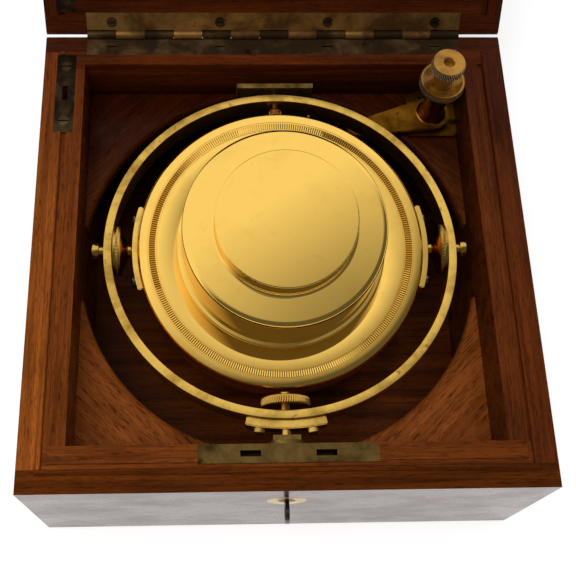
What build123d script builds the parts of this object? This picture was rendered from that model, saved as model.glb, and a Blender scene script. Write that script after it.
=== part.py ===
from build123d import *
import math
import os

# Marine chronometer in its two-part mahogany box, lid open, bowl turned upside down in its gimbals.
# Millimetres. Z up, X to the right, Y to the back. The origin is the middle of the box's underside.

# Bowl: its radius drives the ring, the box and the movement
bowl_radius = 55.3
bowl_tilt = 8.3
bowl_wall = 2.0
bowl_mouth = -13.0
back_plate_low = 3.0
back_plate_high = 5.5
back_plate_bevel = 0.9
back_plate_spigot = 2.0
spigot_width = 1.8
bowl_pad_half_angle = 17.0
bowl_pad_thickness = 2.0
bowl_pad_height = 9.4
bowl_pad_screw_angle = 12.4
small_head_radius = 2.2
small_head_height = 1.6
small_shank_radius = 1.0
small_shank_length = 3.4
steady_pin_radius = 0.8
steady_pin_length = 1.7
steady_pin_angle = 77.0
ledge_width = 2.8
ledge_height = 2.0
bezel_step = 1.7
bezel_thickness = 3.6
bezel_chamfer = 0.8
bezel_spigot = 1.8
bezel_lip = 7.8
glass_step = 6.7
glass_thickness = 1.8
glass_recess = 0.2

# Dust cap on the bowl's back
cap_setback = 15.3
cap_foot_thickness = 2.6
cap_foot_width = 1.6
cap_wall_taper = 1.1
cap_shoulder_level = 32.6
cap_shoulder_round = 2.2
cap_top_share = 0.6375
cap_top_level = 42.1
cap_top_fillet = 1.3
cap_edge = 0.5
cap_skin = 1.2
cap_spigot = 1.6
cap_clearance = 0.2

# Gimbals
pivot_drop = 8.8
ring_gap = 9.9
ring_thickness = 3.2
ring_height = 9.5
well_gap = 9.9
running_clearance = 0.05
piece_clearance = 0.3
side_head_radius = 9.8
side_head_thickness = 3.1
side_head_edge = 0.8
side_cone_length = 2.5
side_stem_radius = 2.5
side_stem_gap = 0.5
side_tip_radius = 1.5
side_tip_depth = 0.9
neck_radius = 2.1
side_end_radius = 3.3
side_end_gap = 1.9
side_end_length = 2.8
end_head_radius = 9.4
end_head_thickness = 3.0
end_head_gap = 1.9
end_boss_radius = 1.9
end_boss_gap = 2.3
journal_radius = 2.0
journal_depth = 2.0
back_stem_radius = 1.1
back_collar_radius = 1.7
back_collar_length = 1.8
ring_pad_half_angle = 12.1
ring_pad_thickness = 3.2
ring_pad_height = 6.4
ring_pad_screw_angle = 7.8
pad_head_radius = 2.4
pad_head_height = 2.2
pad_shank_radius = 1.2
pad_shank_length = 5.4
front_bracket_width = 13.2
front_bracket_thickness = 1.8
front_bracket_top_drop = 0.7
front_bracket_length = 32.0
front_bracket_screw_rise = 3.6
front_bracket_screw_offset = 3.4
front_boss_width = 10.0
front_boss_reach = 4.3
front_boss_top_drop = 5.3
front_boss_height = 9.0
back_bracket_width = 31.7
back_bracket_thickness = 2.2
back_bracket_gap = 3.8
back_bracket_top_drop = 5.0
back_bracket_step_drop = 20.0
back_bracket_length = 30.0
back_bracket_screw_offset = 10.0

# Box
board_thickness = 8.5
floor_thickness = 8.0
floor_gap = 3.9
lid_height = 74.0
lid_opening = 125.0
lid_panel_thickness = 8.0
lid_panel_round = 2.0
lining_thickness = 8.2
back_lining_thickness = 6.1
bead_width = 2.1
bead_height = 0.8
bead_round = 0.7
bead_rebate_width = 2.6
bead_rebate_depth = 1.3
groove_width = 2.0
groove_depth = 0.9
rim_gap = 0.3
hinge_edge_chamfer = 1.2
corner_board_drop = 22.0
corner_board_thickness = 5.0
corner_board_round = 2.0
opening_overlap = 0.7
corner_post_size = 14.0

# Hinge
hinge_margin = 17.0
hinge_setback = 0.1
leaf_width = 9.6
leaf_thickness = 1.5
knuckle_radius = 1.8
knuckle_count = 13
knuckle_gap = 0.2
hinge_pin_radius = 0.8
hinge_screw_count = 4
hinge_screw_inset = 5.6
hinge_screw_margin = 10.5
rim_head_radius = 2.2
rim_shank_radius = 1.1
rim_screw_length = 8.0
bracket_screw_length = 6.0
slot_share = 0.27

# Brass plates let into the rims
plate_thickness = 1.6
slot_plate_length = 37.0
slot_plate_width = 7.8
slot_plate_edge = 5.2
slot_plate_back = 9.8
slot_length = 6.6
slot_width = 2.3
slot_depth = 9.0
slot_screw_spacing = 26.0
tongue_length = 4.0
tongue_thickness = 1.3
tongue_drop = 5.0
lock_plate_length = 64.0
lock_plate_width = 6.8
lock_slot_spacing = 26.8
lock_slot_length = 7.4
lock_slot_width = 2.2
hook_thickness = 1.2
hook_offset = 0.3
hook_width = 5.6
hook_stem = 2.2
hook_depth = 6.6
hook_foot = 1.6

# Lock and key
lock_case_length = 44.0
lock_case_height = 24.0
lock_case_thickness = 4.8
lock_wall = 0.8
key_drop = 19.4
lock_nose_radius = 3.2
escutcheon_radius = 7.3
escutcheon_thickness = 1.0
key_shank_radius = 1.0
key_bow_radius = 4.1
key_bow_thickness = 1.4
key_bow_bar = 1.3
key_bow_reach = 4.2
key_bit_height = 3.4
key_bit_width = 1.0
bolt_travel = 4.0
bolt_thickness = 0.9
bolt_height = 5.0
bolt_drop = 7.4
bolt_end_gap = 0.5
bolt_tail_half = 2.0
claw_width = 2.0
claw_height = 1.6
claw_top_gap = 0.5
claw_side_gap = 0.6

# Gimbal lock in the back right corner
pillar_from_side = 11.0
pillar_from_back = 12.9
pillar_radius = 3.0
pillar_foot_half = 9.5
pillar_foot_reach = 13.7
pillar_foot_thickness = 2.0
pillar_top_rise = 14.0
foot_head_radius = 1.6
foot_shank_radius = 0.8
foot_screw_length = 4.5
foot_screw_circle = 9.9
foot_screw_angles = (-15.0, 105.0, 225.0)
arm_thickness = 3.0
arm_hub_radius = 7.9
arm_length = 37.4
arm_tip_width = 6.1
arm_angle = 193.2
arm_clearance = 0.1
sleeve_foot_radius = 6.3
sleeve_waist_radius = 4.6
sleeve_flare_height = 6.0
sleeve_top_rise = 4.0
clamp_nut_radius = 9.3
clamp_nut_height = 3.6
clamp_nut_rim = 1.2
clamp_nut_dish = 1.6
knob_radius = 6.7
knob_head_low_rise = 16.0
knob_head_height = 4.1
knob_neck_radius = 4.2
knob_flare = 2.0
knob_hole_radius = 2.0
knob_hole_depth = 3.0

# Movement: plan sizes as drawn for a bowl of 55.3 mm radius, times the bowl's growth
drawn_for = 55.3
growth = bowl_radius / drawn_for
dial_thickness = 1.0
dial_gap = 0.3
dial_level = -10.9
dial_foot_radius = 1.2 * growth
dial_foot_circle = 44.0 * growth
dial_foot_angles = (45.0, 135.0, 225.0, 315.0)
pillar_plate_low = -8.4
pillar_plate_thickness = 3.0
top_plate_radius = 34.5 * growth
top_plate_low = 14.0
top_plate_thickness = 2.5
plate_pillar_radius = 2.4 * growth
plate_pillar_circle = 31.0 * growth
plate_pillar_angles = (-90.0, 28.0, 152.0)
plate_pillar_foot = 1.5
barrel_x = -17.0 * growth
barrel_y = -12.0 * growth
barrel_radius = 14.0 * growth
barrel_low = -3.5
barrel_height = 13.0
fusee_x = 17.0 * growth
great_wheel_radius = 18.0 * growth
great_wheel_low = -4.6
fusee_wide_radius = 12.5 * growth
fusee_narrow_radius = 7.5 * growth
fusee_height = 13.0
fusee_groove_depth = 0.7
fusee_turns = 5
chain_thickness = 0.8
chain_height = 1.6
chain_level = 4.0
centre_wheel_radius = 15.0 * growth
centre_wheel_low = 12.2
third_x = -9.2 * growth
third_y = 14.3 * growth
third_wheel_radius = 13.9 * growth
third_wheel_low = 10.0
seconds_y = 27.0 * growth
fourth_wheel_radius = 10.4 * growth
fourth_wheel_low = 3.0
escape_x = 11.3 * growth
escape_y = 24.0 * growth
escape_wheel_radius = 7.0 * growth
escape_wheel_low = 17.6
balance_x = 3.5 * growth
balance_y = 16.8 * growth
balance_radius = 14.0 * growth
balance_low = 20.6
balance_height = 3.0
balance_rim = 1.5
balance_arm_width = 2.0
balance_gap = 8.0
balance_weight_radius = 1.5
balance_spring_radius = 4.3 * growth
balance_spring_wire = 0.5
balance_spring_turns = 5
balance_spring_sides = 12
balance_spring_low = 25.6
balance_spring_height = 6.4
roller_radius = 2.6 * growth
cock_low = 33.4
cock_thickness = 2.4
cock_foot_x = -6.0 * growth
cock_foot_y = -4.5 * growth
cock_foot_radius = 3.6 * growth
cock_head_radius = 3.4 * growth
wheel_thickness = 1.0
pinion_extra = 0.6
arbor_radius = 1.2 * growth
slim_arbor_radius = 0.7 * growth
hub_radius = 2.0 * growth
arm_width = 1.2
tooth_gap = 0.15
tooth_depth = 0.9
hour_hand_length = 26.0 * growth
minute_hand_length = 42.0 * growth
minute_hand_tail = 8.0 * growth
second_hand_length = 8.0 * growth
second_hand_tail = 3.0 * growth
hand_thickness = 0.3
hand_gap = 0.15
hand_width = 1.6
hour_pipe_radius = 2.0 * growth
hour_pipe_depth = 0.6
hour_hand_angle = 60.0
minute_hand_angle = -50.0
second_hand_angle = 20.0

# Levels that follow from the sizes above
bowl_inner = bowl_radius - bowl_wall
ring_inner = bowl_radius + ring_gap
ring_radius = ring_inner + ring_thickness
well_x = ring_radius + well_gap
inner_x = well_x + lining_thickness
inner_y = inner_x
half_width = inner_x + board_thickness
half_depth = half_width
well_front = -well_x
well_back = inner_y - back_lining_thickness
well_middle = (well_front + well_back) / 2
rim = pivot_drop + bowl_radius + floor_gap + floor_thickness
board_top = rim - corner_board_drop
board_low = board_top - corner_board_thickness
pivot_z = rim - pivot_drop
hinge_y = half_depth - hinge_setback
hinge_z = rim + rim_gap / 2
hinge_length = 2 * (half_width - hinge_margin)
lid_rim = rim + rim_gap
lid_top = lid_rim + lid_height
lid_side_top = lid_top - lid_panel_thickness


def block(x0, x1, y0, y1, z0, z1):
    middle = Pos((x0 + x1) / 2, (y0 + y1) / 2, (z0 + z1) / 2)
    return middle * Box(x1 - x0, y1 - y0, z1 - z0)


def rod(radius, z0, z1, x=0.0, y=0.0):
    return Pos(x, y, (z0 + z1) / 2) * Cylinder(radius, z1 - z0)


def turned(points):
    """A solid turned about Z from (radius, height) points."""
    return revolve(Plane.XZ * make_face(Polyline(points, close=True)), Axis.Z)


def along_x(shape):
    """Lay a shape made along Z so that it points along X."""
    return Rot(Y=90) * shape


def along_front(shape):
    """Lay a shape made along Z so that it points to the front."""
    return Rot(X=90) * shape


def along_back(shape):
    """Lay a shape made along Z so that it points to the back."""
    return Rot(X=-90) * shape


def group(shapes):
    return Compound(children=[solid for shape in shapes for solid in shape.solids()])


def curved_strip(inner, outer, z0, z1, half_angle, middle_angle):
    """A curved strip between two radii, spread evenly about one direction."""
    strip = rod(outer, z0, z1) - rod(inner, z0 - 1, z1 + 1)
    reach = 2 * outer
    spread = reach * math.tan(math.radians(half_angle))
    wedge_face = make_face(Polyline([(0, 0), (reach, -spread), (reach, spread)], close=True))
    wedge = Pos(0, 0, z0 - 1) * extrude(wedge_face, z1 - z0 + 2)
    return strip & (Rot(Z=middle_angle) * wedge)


def flat_screw(head_radius, shank_radius, length, grow=0.0):
    """A countersunk screw, head face at Z = 0 and point downwards; grow makes its hole."""
    head_depth = head_radius - shank_radius
    return turned([(0, 0), (head_radius + grow, 0), (shank_radius + grow, -head_depth),
                   (shank_radius + grow, -length - grow), (0, -length - grow)])


def round_screw(head_radius, head_height, shank_radius, length):
    """A cheese-headed screw, standing on Z = 0 with its shank below."""
    edge = 0.25 * head_height
    return turned([(0, head_height), (head_radius - edge, head_height),
                   (head_radius, head_height - edge), (head_radius, 0),
                   (shank_radius, 0), (shank_radius, -length), (0, -length)])


def slotted(screw, head_radius, top=0.0):
    """Cut the driver slot across a screw's head."""
    slot = Box(3 * head_radius, slot_share * head_radius, 2 * slot_share * head_radius)
    return screw - Pos(0, 0, top) * slot


def toothed_disc(teeth, tip_radius, thickness):
    """A wheel blank with pointed teeth, standing on Z = 0."""
    points = []
    for i in range(teeth):
        for radius, turn in ((tip_radius, i), (tip_radius - tooth_depth, i + 0.5)):
            angle = 2 * math.pi * turn / teeth
            points.append((radius * math.cos(angle), radius * math.sin(angle)))
    return extrude(make_face(Polyline(points, close=True)), thickness)


def crossed_wheel(teeth, tip_radius, crossings):
    """A toothed wheel standing on Z = 0, crossed out to a rim, arms and a hub."""
    window = rod(tip_radius - tooth_depth - arm_width, -1, wheel_thickness + 1)
    window = window - rod(hub_radius, -2, wheel_thickness + 2)
    for i in range(crossings):
        arm = block(0, tip_radius, -arm_width / 2, arm_width / 2, -2, wheel_thickness + 2)
        window = window - Rot(Z=360 * i / crossings) * arm
    return toothed_disc(teeth, tip_radius, wheel_thickness) - window


def pinion(teeth, radius, low):
    """A pinion that overlaps its wheel's thickness a little on both sides."""
    return Pos(0, 0, low - pinion_extra) * toothed_disc(
        teeth, radius, wheel_thickness + 2 * pinion_extra)


pieces = {}

# Hinge: two leaves let into the rims, alternate knuckles and one pin
knuckle_pitch = hinge_length / knuckle_count
knuckle_front = hinge_y - knuckle_radius - 2 * running_clearance
leaf_front = hinge_y - leaf_width
hinge_screw_y = half_depth - hinge_screw_inset
rim_mirror = Plane.XY.offset(hinge_z)
pin_bore = Pos(0, hinge_y, hinge_z) * along_x(
    Cylinder(hinge_pin_radius + running_clearance, hinge_length + 2))
hinge_screw_spacing = (hinge_length - 2 * hinge_screw_margin) / (hinge_screw_count - 1)
rim_screw = slotted(flat_screw(rim_head_radius, rim_shank_radius, rim_screw_length),
                    rim_head_radius)
rim_screw_hole = flat_screw(rim_head_radius, rim_shank_radius, rim_screw_length,
                            running_clearance)
hinge_screw_places = []
for i in range(hinge_screw_count):
    from_middle = i - (hinge_screw_count - 1) / 2
    hinge_screw_places.append(Pos(from_middle * hinge_screw_spacing, hinge_screw_y, rim))


def hinge_leaf(first):
    """A leaf in the base's rim that carries every second knuckle, from the first one given."""
    leaf = block(-hinge_length / 2, hinge_length / 2, leaf_front, hinge_y,
                 rim - leaf_thickness, rim)
    for i in range(knuckle_count):
        middle = -hinge_length / 2 + (i + 0.5) * knuckle_pitch
        if (i - first) % 2 == 0:
            knuckle = along_x(Cylinder(knuckle_radius, knuckle_pitch - knuckle_gap))
            leaf = leaf + Pos(middle, hinge_y, hinge_z) * knuckle
        else:
            room_half = (knuckle_pitch + knuckle_gap) / 2
            leaf = leaf - block(middle - room_half, middle + room_half,
                                knuckle_front - piece_clearance, half_depth + 5, rim - 5, rim + 5)
    leaf = leaf - pin_bore
    for place in hinge_screw_places:
        leaf = leaf - place * rim_screw_hole
    return leaf


pieces["hinge_base_leaf"] = hinge_leaf(0)
lid_leaf = mirror(hinge_leaf(1), about=rim_mirror)
pieces["hinge_pin"] = Pos(0, hinge_y, hinge_z) * along_x(Cylinder(hinge_pin_radius, hinge_length))

hinge_cut = block(-hinge_length / 2, hinge_length / 2, leaf_front, half_depth + 1,
                  rim - leaf_thickness, rim + 2)
hinge_cut = hinge_cut + block(-hinge_length / 2, hinge_length / 2, knuckle_front - piece_clearance,
                              half_depth + 1, rim - knuckle_radius - piece_clearance, rim + 2)
for place in hinge_screw_places:
    hinge_cut = hinge_cut + place * rim_screw_hole

# Slot plate in the left rim, and the lid's plate whose tongue drops into it
slot_x = -half_width + slot_plate_edge + slot_plate_width / 2
slot_y = half_depth - slot_plate_back - slot_plate_length / 2
slot_plate_blank = Pos(slot_x, slot_y, rim - plate_thickness / 2) * Box(
    slot_plate_width, slot_plate_length, plate_thickness)
slot_hole = Pos(slot_x, slot_y, rim - slot_depth / 2) * Box(slot_width, slot_length, slot_depth)
slot_screw_places = []
for side in (-1, 1):
    slot_screw_places.append(Pos(slot_x, slot_y + side * slot_screw_spacing / 2, rim))
slot_plate = slot_plate_blank - slot_hole
side_plate_cut = Pos(slot_x, slot_y, rim) * Box(
    slot_plate_width, slot_plate_length, 2 * plate_thickness)
tongue = Pos(slot_x, slot_y, lid_rim - tongue_drop / 2) * Box(
    tongue_thickness, tongue_length, tongue_drop)
tongue_plate = mirror(slot_plate_blank, about=rim_mirror) + tongue
for place in slot_screw_places:
    slot_plate = slot_plate - place * rim_screw_hole
    side_plate_cut = side_plate_cut + place * rim_screw_hole
    tongue_plate = tongue_plate - mirror(place * rim_screw_hole, about=rim_mirror)
pieces["slot_plate"] = slot_plate

# Lock: a case under the front plate, a sliding bolt with two claws, its key and escutcheon
lock_y = well_front - lock_plate_width / 2
case_front = lock_y - lock_case_thickness / 2
case_back = lock_y + lock_case_thickness / 2
case_top = rim - plate_thickness
case_low = case_top - lock_case_height
key_z = rim - key_drop
lock_plate_blank = block(-lock_plate_length / 2, lock_plate_length / 2,
                         well_front - lock_plate_width, well_front, case_top, rim)
case_block = block(-lock_case_length / 2, lock_case_length / 2, case_front, case_back,
                   case_low, case_top)
case_room = block(-lock_case_length / 2 + lock_wall, lock_case_length / 2 - lock_wall,
                  case_front + lock_wall, case_back - lock_wall, case_low + lock_wall, case_top)
nose_length = case_front + half_depth
nose = Pos(0, case_front - nose_length / 2, key_z) * along_front(
    Cylinder(lock_nose_radius, nose_length))
key_bore = Pos(0, case_front - nose_length / 2, key_z) * along_front(
    Cylinder(key_shank_radius + running_clearance, nose_length + 2 * lock_wall + 1))
lock_case = lock_plate_blank + (case_block - case_room) + nose - key_bore
for side in (-1, 1):
    lock_case = lock_case - Pos(side * lock_slot_spacing / 2, lock_y, rim) * Box(
        lock_slot_length, lock_slot_width, 4 * plate_thickness)
lock_case_cut = block(-lock_plate_length / 2, lock_plate_length / 2,
                      well_front - lock_plate_width, well_front + 1, case_top, rim + 1)
lock_case_cut = lock_case_cut + block(-lock_case_length / 2, lock_case_length / 2,
                                      case_front, case_back, case_low, rim)
nose_hole = Pos(0, -half_depth, key_z) * along_front(
    Cylinder(lock_nose_radius + running_clearance, 2 * (board_thickness + lining_thickness)))
pieces["lock_case"] = lock_case

bolt_y1 = case_back - lock_wall - running_clearance
bolt_y0 = bolt_y1 - bolt_thickness
bolt_top = rim - bolt_drop
bolt_half = (lock_case_length - bolt_travel) / 2 - lock_wall - bolt_end_gap
bolt_rest = -bolt_travel / 2
lock_bolt = block(bolt_rest - bolt_half, bolt_rest + bolt_half, bolt_y0, bolt_y1,
                  bolt_top - bolt_height, bolt_top)
lock_bolt = lock_bolt + block(-bolt_tail_half, bolt_tail_half, bolt_y0, bolt_y1,
                              key_z + key_bit_height + piece_clearance, bolt_top)
claw_top = case_top - claw_top_gap
claw_front = case_front + lock_wall + piece_clearance
for side in (-1, 1):
    claw_x = side * lock_slot_spacing / 2 - hook_width / 2 - claw_side_gap
    claw_post = block(claw_x - claw_width, claw_x, bolt_y0, bolt_y1, bolt_top - 1, claw_top)
    claw = block(claw_x - claw_width, claw_x, claw_front, bolt_y1,
                 claw_top - claw_height, claw_top)
    lock_bolt = lock_bolt + claw_post + claw
pieces["lock_bolt"] = lock_bolt

shank_back = case_back - lock_wall - piece_clearance
shank_front = -half_depth - key_bow_reach + key_bow_radius - key_bow_bar / 2
key_shank = Pos(0, (shank_front + shank_back) / 2, key_z) * along_front(
    Cylinder(key_shank_radius, shank_back - shank_front))
key_bow = Cylinder(key_bow_radius, key_bow_thickness) - Cylinder(
    key_bow_radius - key_bow_bar, 2 * key_bow_thickness)
key_bow = Pos(0, -half_depth - key_bow_reach, key_z) * along_x(key_bow)
key_bit = block(-key_bit_width / 2, key_bit_width / 2, claw_front, shank_back,
                key_z - key_bit_height, key_z)
pieces["box_key"] = key_shank + key_bow + key_bit

escutcheon = Cylinder(escutcheon_radius, escutcheon_thickness) - Cylinder(
    lock_nose_radius + running_clearance, 2 * escutcheon_thickness)
escutcheon_y = -half_depth + escutcheon_thickness / 2
pieces["escutcheon"] = Pos(0, escutcheon_y, key_z) * along_front(escutcheon)
escutcheon_seat = Pos(0, -half_depth, key_z) * along_front(
    Cylinder(escutcheon_radius, 2 * escutcheon_thickness))

# Link plate in the lid's front rim, with two hooks for the lock
link_plate = mirror(lock_plate_blank, about=rim_mirror)
link_plate_cut = mirror(block(-lock_plate_length / 2, lock_plate_length / 2,
                              well_front - lock_plate_width, well_front + 1,
                              case_top, rim + 1), about=rim_mirror)
hook_y0 = lock_y - hook_offset - hook_thickness / 2
hook_y1 = hook_y0 + hook_thickness
hook_low = lid_rim - hook_depth
for side in (-1, 1):
    hook_x0 = side * lock_slot_spacing / 2 - hook_width / 2
    hook_x1 = hook_x0 + hook_width
    link_plate = link_plate + block(hook_x1 - hook_stem, hook_x1, hook_y0, hook_y1,
                                    hook_low, lid_rim)
    link_plate = link_plate + block(hook_x0, hook_x1, hook_y0, hook_y1,
                                    hook_low, hook_low + hook_foot)
lock_screw_places = []
for side in (-1, 1):
    from_middle = side * (lock_plate_length / 2 - 2 * rim_head_radius)
    lock_screw_places.append(Pos(from_middle, lock_y, rim))
for place in lock_screw_places:
    link_plate = link_plate - mirror(place * rim_screw_hole, about=rim_mirror)
    link_plate_cut = link_plate_cut + mirror(place * rim_screw_hole, about=rim_mirror)

# Base of the box: four boards with a bead round the inner edge of the rim, and the floor
bead = block(-inner_x - bead_width, inner_x + bead_width, -inner_y - bead_width, inner_y,
             rim - 1, rim + bead_height)
bead = bead - block(-inner_x, inner_x, -inner_y, inner_y + 1, rim - 2, rim + 2)
bead_top_edges = bead.edges().filter_by(lambda e: e.center().Z > rim + 0.9 * bead_height)
bead_top_edges = bead_top_edges.filter_by(lambda e: e.center().Y < inner_y - 0.1)
bead = fillet(bead_top_edges, bead_round)

front_board = block(-half_width, half_width, -half_depth, -inner_y, 0, rim)
front_bead = bead & block(-half_width, half_width, -half_depth, -inner_y, rim - 1, rim + 2)
pieces["base_front_board"] = front_board + front_bead - nose_hole - escutcheon_seat

back_board = block(-half_width, half_width, inner_y, half_depth, 0, rim)
top_outer_edge = back_board.edges().filter_by(Axis.X).filter_by(
    lambda e: e.center().Z > rim - 0.1 and e.center().Y > half_depth - 0.1)
plain_back_board = chamfer(top_outer_edge, hinge_edge_chamfer)
pieces["base_back_board"] = plain_back_board - hinge_cut

left_board = block(-half_width, -inner_x, -inner_y, inner_y, 0, rim)
left_board = left_board + (bead & block(-half_width, -inner_x, -inner_y, inner_y, rim - 1, rim + 2))
left_board = left_board - side_plate_cut - slot_hole
right_board = block(inner_x, half_width, -inner_y, inner_y, 0, rim)
right_board = right_board + (bead & block(inner_x, half_width, -inner_y, inner_y, rim - 1, rim + 2))
pieces["base_side_boards"] = group([left_board, right_board])
pieces["base_floor"] = block(-inner_x, inner_x, -inner_y, inner_y, 0, floor_thickness)

# Lining of the base, with a groove beside the bead; the lock case sits in its front piece
groove = block(-inner_x, inner_x, -inner_y, inner_y + 1, rim - groove_depth, rim + 1)
groove = groove - block(-inner_x + groove_width, inner_x - groove_width, -inner_y + groove_width,
                        inner_y + 2, rim - 2, rim + 2)
front_lining = block(-inner_x, inner_x, -inner_y, well_front, floor_thickness, rim) - groove
front_lining = front_lining - lock_case_cut - nose_hole
back_lining = block(-inner_x, inner_x, well_back, inner_y, floor_thickness, rim) - hinge_cut
back_lining = back_lining - side_plate_cut
left_lining = block(-inner_x, -well_x, well_front, well_back, floor_thickness, rim) - groove
left_lining = left_lining - side_plate_cut - slot_hole
right_lining = block(well_x, inner_x, well_front, well_back, floor_thickness, rim) - groove

# Corner boards round the bowl's opening, each on a post
opening_radius = min(well_x, (well_back - well_front) / 2) + opening_overlap
back_bar_half = back_bracket_width / 2
board_end = back_bar_half + piece_clearance
corner_boards = []
corner_posts = []
for side_x in (-1, 1):
    for edge_y in (well_front, well_back):
        far_x = side_x * well_x
        near_x = side_x * board_end
        near_y = well_middle + math.copysign(board_end, edge_y)
        corner = block(min(near_x, far_x), max(near_x, far_x), min(near_y, edge_y),
                       max(near_y, edge_y), board_low, board_top)
        corner = corner - rod(opening_radius, 0, rim, 0, well_middle)
        round_edges = corner.edges().filter_by(GeomType.CIRCLE).sort_by(Axis.Z)[-1:]
        corner_boards.append(fillet(round_edges, corner_board_round))
        post_x = far_x - side_x * corner_post_size
        post_y = edge_y - math.copysign(corner_post_size, edge_y)
        corner_posts.append(block(min(post_x, far_x), max(post_x, far_x), min(post_y, edge_y),
                                  max(post_y, edge_y), floor_thickness, board_low))
pieces["corner_posts"] = group(corner_posts)

# Front bracket: a round-topped plate on the lining with a bearing boss for the ring's journal
front_plate_back = well_front + front_bracket_thickness
front_plate_top = rim - front_bracket_top_drop
plate_round = front_bracket_width / 2
front_bracket = block(-plate_round, plate_round, well_front, front_plate_back,
                      front_plate_top - front_bracket_length, front_plate_top - plate_round)
round_top = Pos(0, (well_front + front_plate_back) / 2, front_plate_top - plate_round) * along_front(
    Cylinder(plate_round, front_bracket_thickness))
boss_top = rim - front_boss_top_drop
front_boss = block(-front_boss_width / 2, front_boss_width / 2, well_front,
                   well_front + front_boss_reach, boss_top - front_boss_height, boss_top)
journal_end = well_x - journal_depth
journal_bore = Pos(0, 0, pivot_z) * along_front(
    rod(journal_radius + running_clearance, ring_radius, journal_end + piece_clearance))
bracket_screw = slotted(flat_screw(rim_head_radius, rim_shank_radius, bracket_screw_length),
                        rim_head_radius)
bracket_screw_hole = flat_screw(rim_head_radius, rim_shank_radius, bracket_screw_length,
                                running_clearance)
front_bracket_screw_z = front_plate_top - front_bracket_length + front_bracket_screw_rise
front_bracket_screw_places = []
for side in (-1, 1):
    front_bracket_screw_places.append(
        Pos(side * front_bracket_screw_offset, front_plate_back, front_bracket_screw_z)
        * Rot(X=-90))
front_bracket = front_bracket + round_top + front_boss - journal_bore
for place in front_bracket_screw_places:
    front_bracket = front_bracket - place * bracket_screw_hole
    front_lining = front_lining - place * bracket_screw_hole
pieces["front_bracket"] = front_bracket

# Back bracket: a cranked strip, its upright standing off from the lining
back_bracket_front = ring_radius + back_bracket_gap
upright_back = back_bracket_front + back_bracket_thickness
step_z = rim - back_bracket_step_drop
wall_plate_front = well_back - back_bracket_thickness
back_bracket = block(-back_bar_half, back_bar_half, back_bracket_front, upright_back,
                     step_z, rim - back_bracket_top_drop)
back_bracket = back_bracket + block(-back_bar_half, back_bar_half, back_bracket_front, well_back,
                                    step_z, step_z + back_bracket_thickness)
back_bracket = back_bracket + block(-back_bar_half, back_bar_half, wall_plate_front, well_back,
                                    rim - back_bracket_top_drop - back_bracket_length,
                                    step_z + back_bracket_thickness)
back_bracket = back_bracket - Pos(0, back_bracket_front, pivot_z) * along_back(
    Cylinder(back_stem_radius + running_clearance, 4 * back_bracket_thickness))
back_bracket_screw_places = []
for side in (-1, 1):
    back_bracket_screw_places.append(
        Pos(side * back_bracket_screw_offset, wall_plate_front, rim - back_bracket_length)
        * Rot(X=90))
for place in back_bracket_screw_places:
    back_bracket = back_bracket - place * bracket_screw_hole
    back_lining = back_lining - place * bracket_screw_hole
pieces["back_bracket"] = back_bracket
pieces["base_lining"] = group([front_lining, back_lining, left_lining, right_lining])

# Gimbal lock: a fixed pillar, the arm with its sleeve, the clamp nut and the knob on top
pillar_x = well_x - pillar_from_side
pillar_y = well_back - pillar_from_back
foot_top = board_top + pillar_foot_thickness
pillar_foot = block(pillar_x - pillar_foot_half, well_x, pillar_y - pillar_foot_half, well_back,
                    board_top, foot_top)
pillar_foot = pillar_foot & rod(pillar_foot_reach, board_top, foot_top, pillar_x, pillar_y)
pillar = pillar_foot + rod(pillar_radius, board_top, rim + pillar_top_rise, pillar_x, pillar_y)
foot_screw = slotted(flat_screw(foot_head_radius, foot_shank_radius, foot_screw_length),
                     foot_head_radius)
foot_screw_hole = flat_screw(foot_head_radius, foot_shank_radius, foot_screw_length,
                             running_clearance)
foot_screw_places = []
for angle in foot_screw_angles:
    foot_screw_places.append(
        Pos(pillar_x + foot_screw_circle * math.cos(math.radians(angle)),
            pillar_y + foot_screw_circle * math.sin(math.radians(angle)), foot_top))
for place in foot_screw_places:
    pillar = pillar - place * foot_screw_hole
    corner_boards = [board - place * foot_screw_hole for board in corner_boards]
pieces["lock_pillar"] = pillar
pieces["corner_boards"] = group(corner_boards)

arm_low = foot_top + arm_clearance
arm_high = arm_low + arm_thickness
sleeve_top = rim + sleeve_top_rise
arm_outline = Polyline([(0, -arm_hub_radius), (arm_length, -arm_tip_width / 2),
                        (arm_length, arm_tip_width / 2), (0, arm_hub_radius)], close=True)
lock_arm = Pos(pillar_x, pillar_y, arm_low) * Rot(Z=arm_angle) * extrude(
    make_face(arm_outline), arm_thickness)
lock_arm = lock_arm + rod(arm_hub_radius, arm_low, arm_high, pillar_x, pillar_y)
sleeve_face = make_face([
    Line((0, arm_low), (sleeve_foot_radius, arm_low)),
    Line((sleeve_foot_radius, arm_low), (sleeve_foot_radius, arm_high)),
    RadiusArc((sleeve_foot_radius, arm_high), (sleeve_waist_radius, arm_high + sleeve_flare_height),
              -4 * sleeve_foot_radius),
    Line((sleeve_waist_radius, arm_high + sleeve_flare_height), (sleeve_waist_radius, sleeve_top)),
    Line((sleeve_waist_radius, sleeve_top), (0, sleeve_top)),
    Line((0, sleeve_top), (0, arm_low))])
sleeve = Pos(pillar_x, pillar_y, 0) * revolve(Plane.XZ * sleeve_face, Axis.Z)
pillar_bore = rod(pillar_radius + running_clearance, board_top, rim + 2 * pillar_top_rise,
                  pillar_x, pillar_y)
pieces["lock_arm"] = lock_arm + sleeve - pillar_bore

nut_low = sleeve_top + arm_clearance
nut_high = nut_low + clamp_nut_height
clamp_nut = turned([(0, nut_low), (clamp_nut_radius, nut_low), (clamp_nut_radius, nut_high),
                    (clamp_nut_radius - clamp_nut_rim, nut_high),
                    (knob_neck_radius + clamp_nut_rim, nut_high - clamp_nut_dish),
                    (0, nut_high - clamp_nut_dish)])
pieces["clamp_nut"] = Pos(pillar_x, pillar_y, 0) * clamp_nut - pillar_bore

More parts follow.
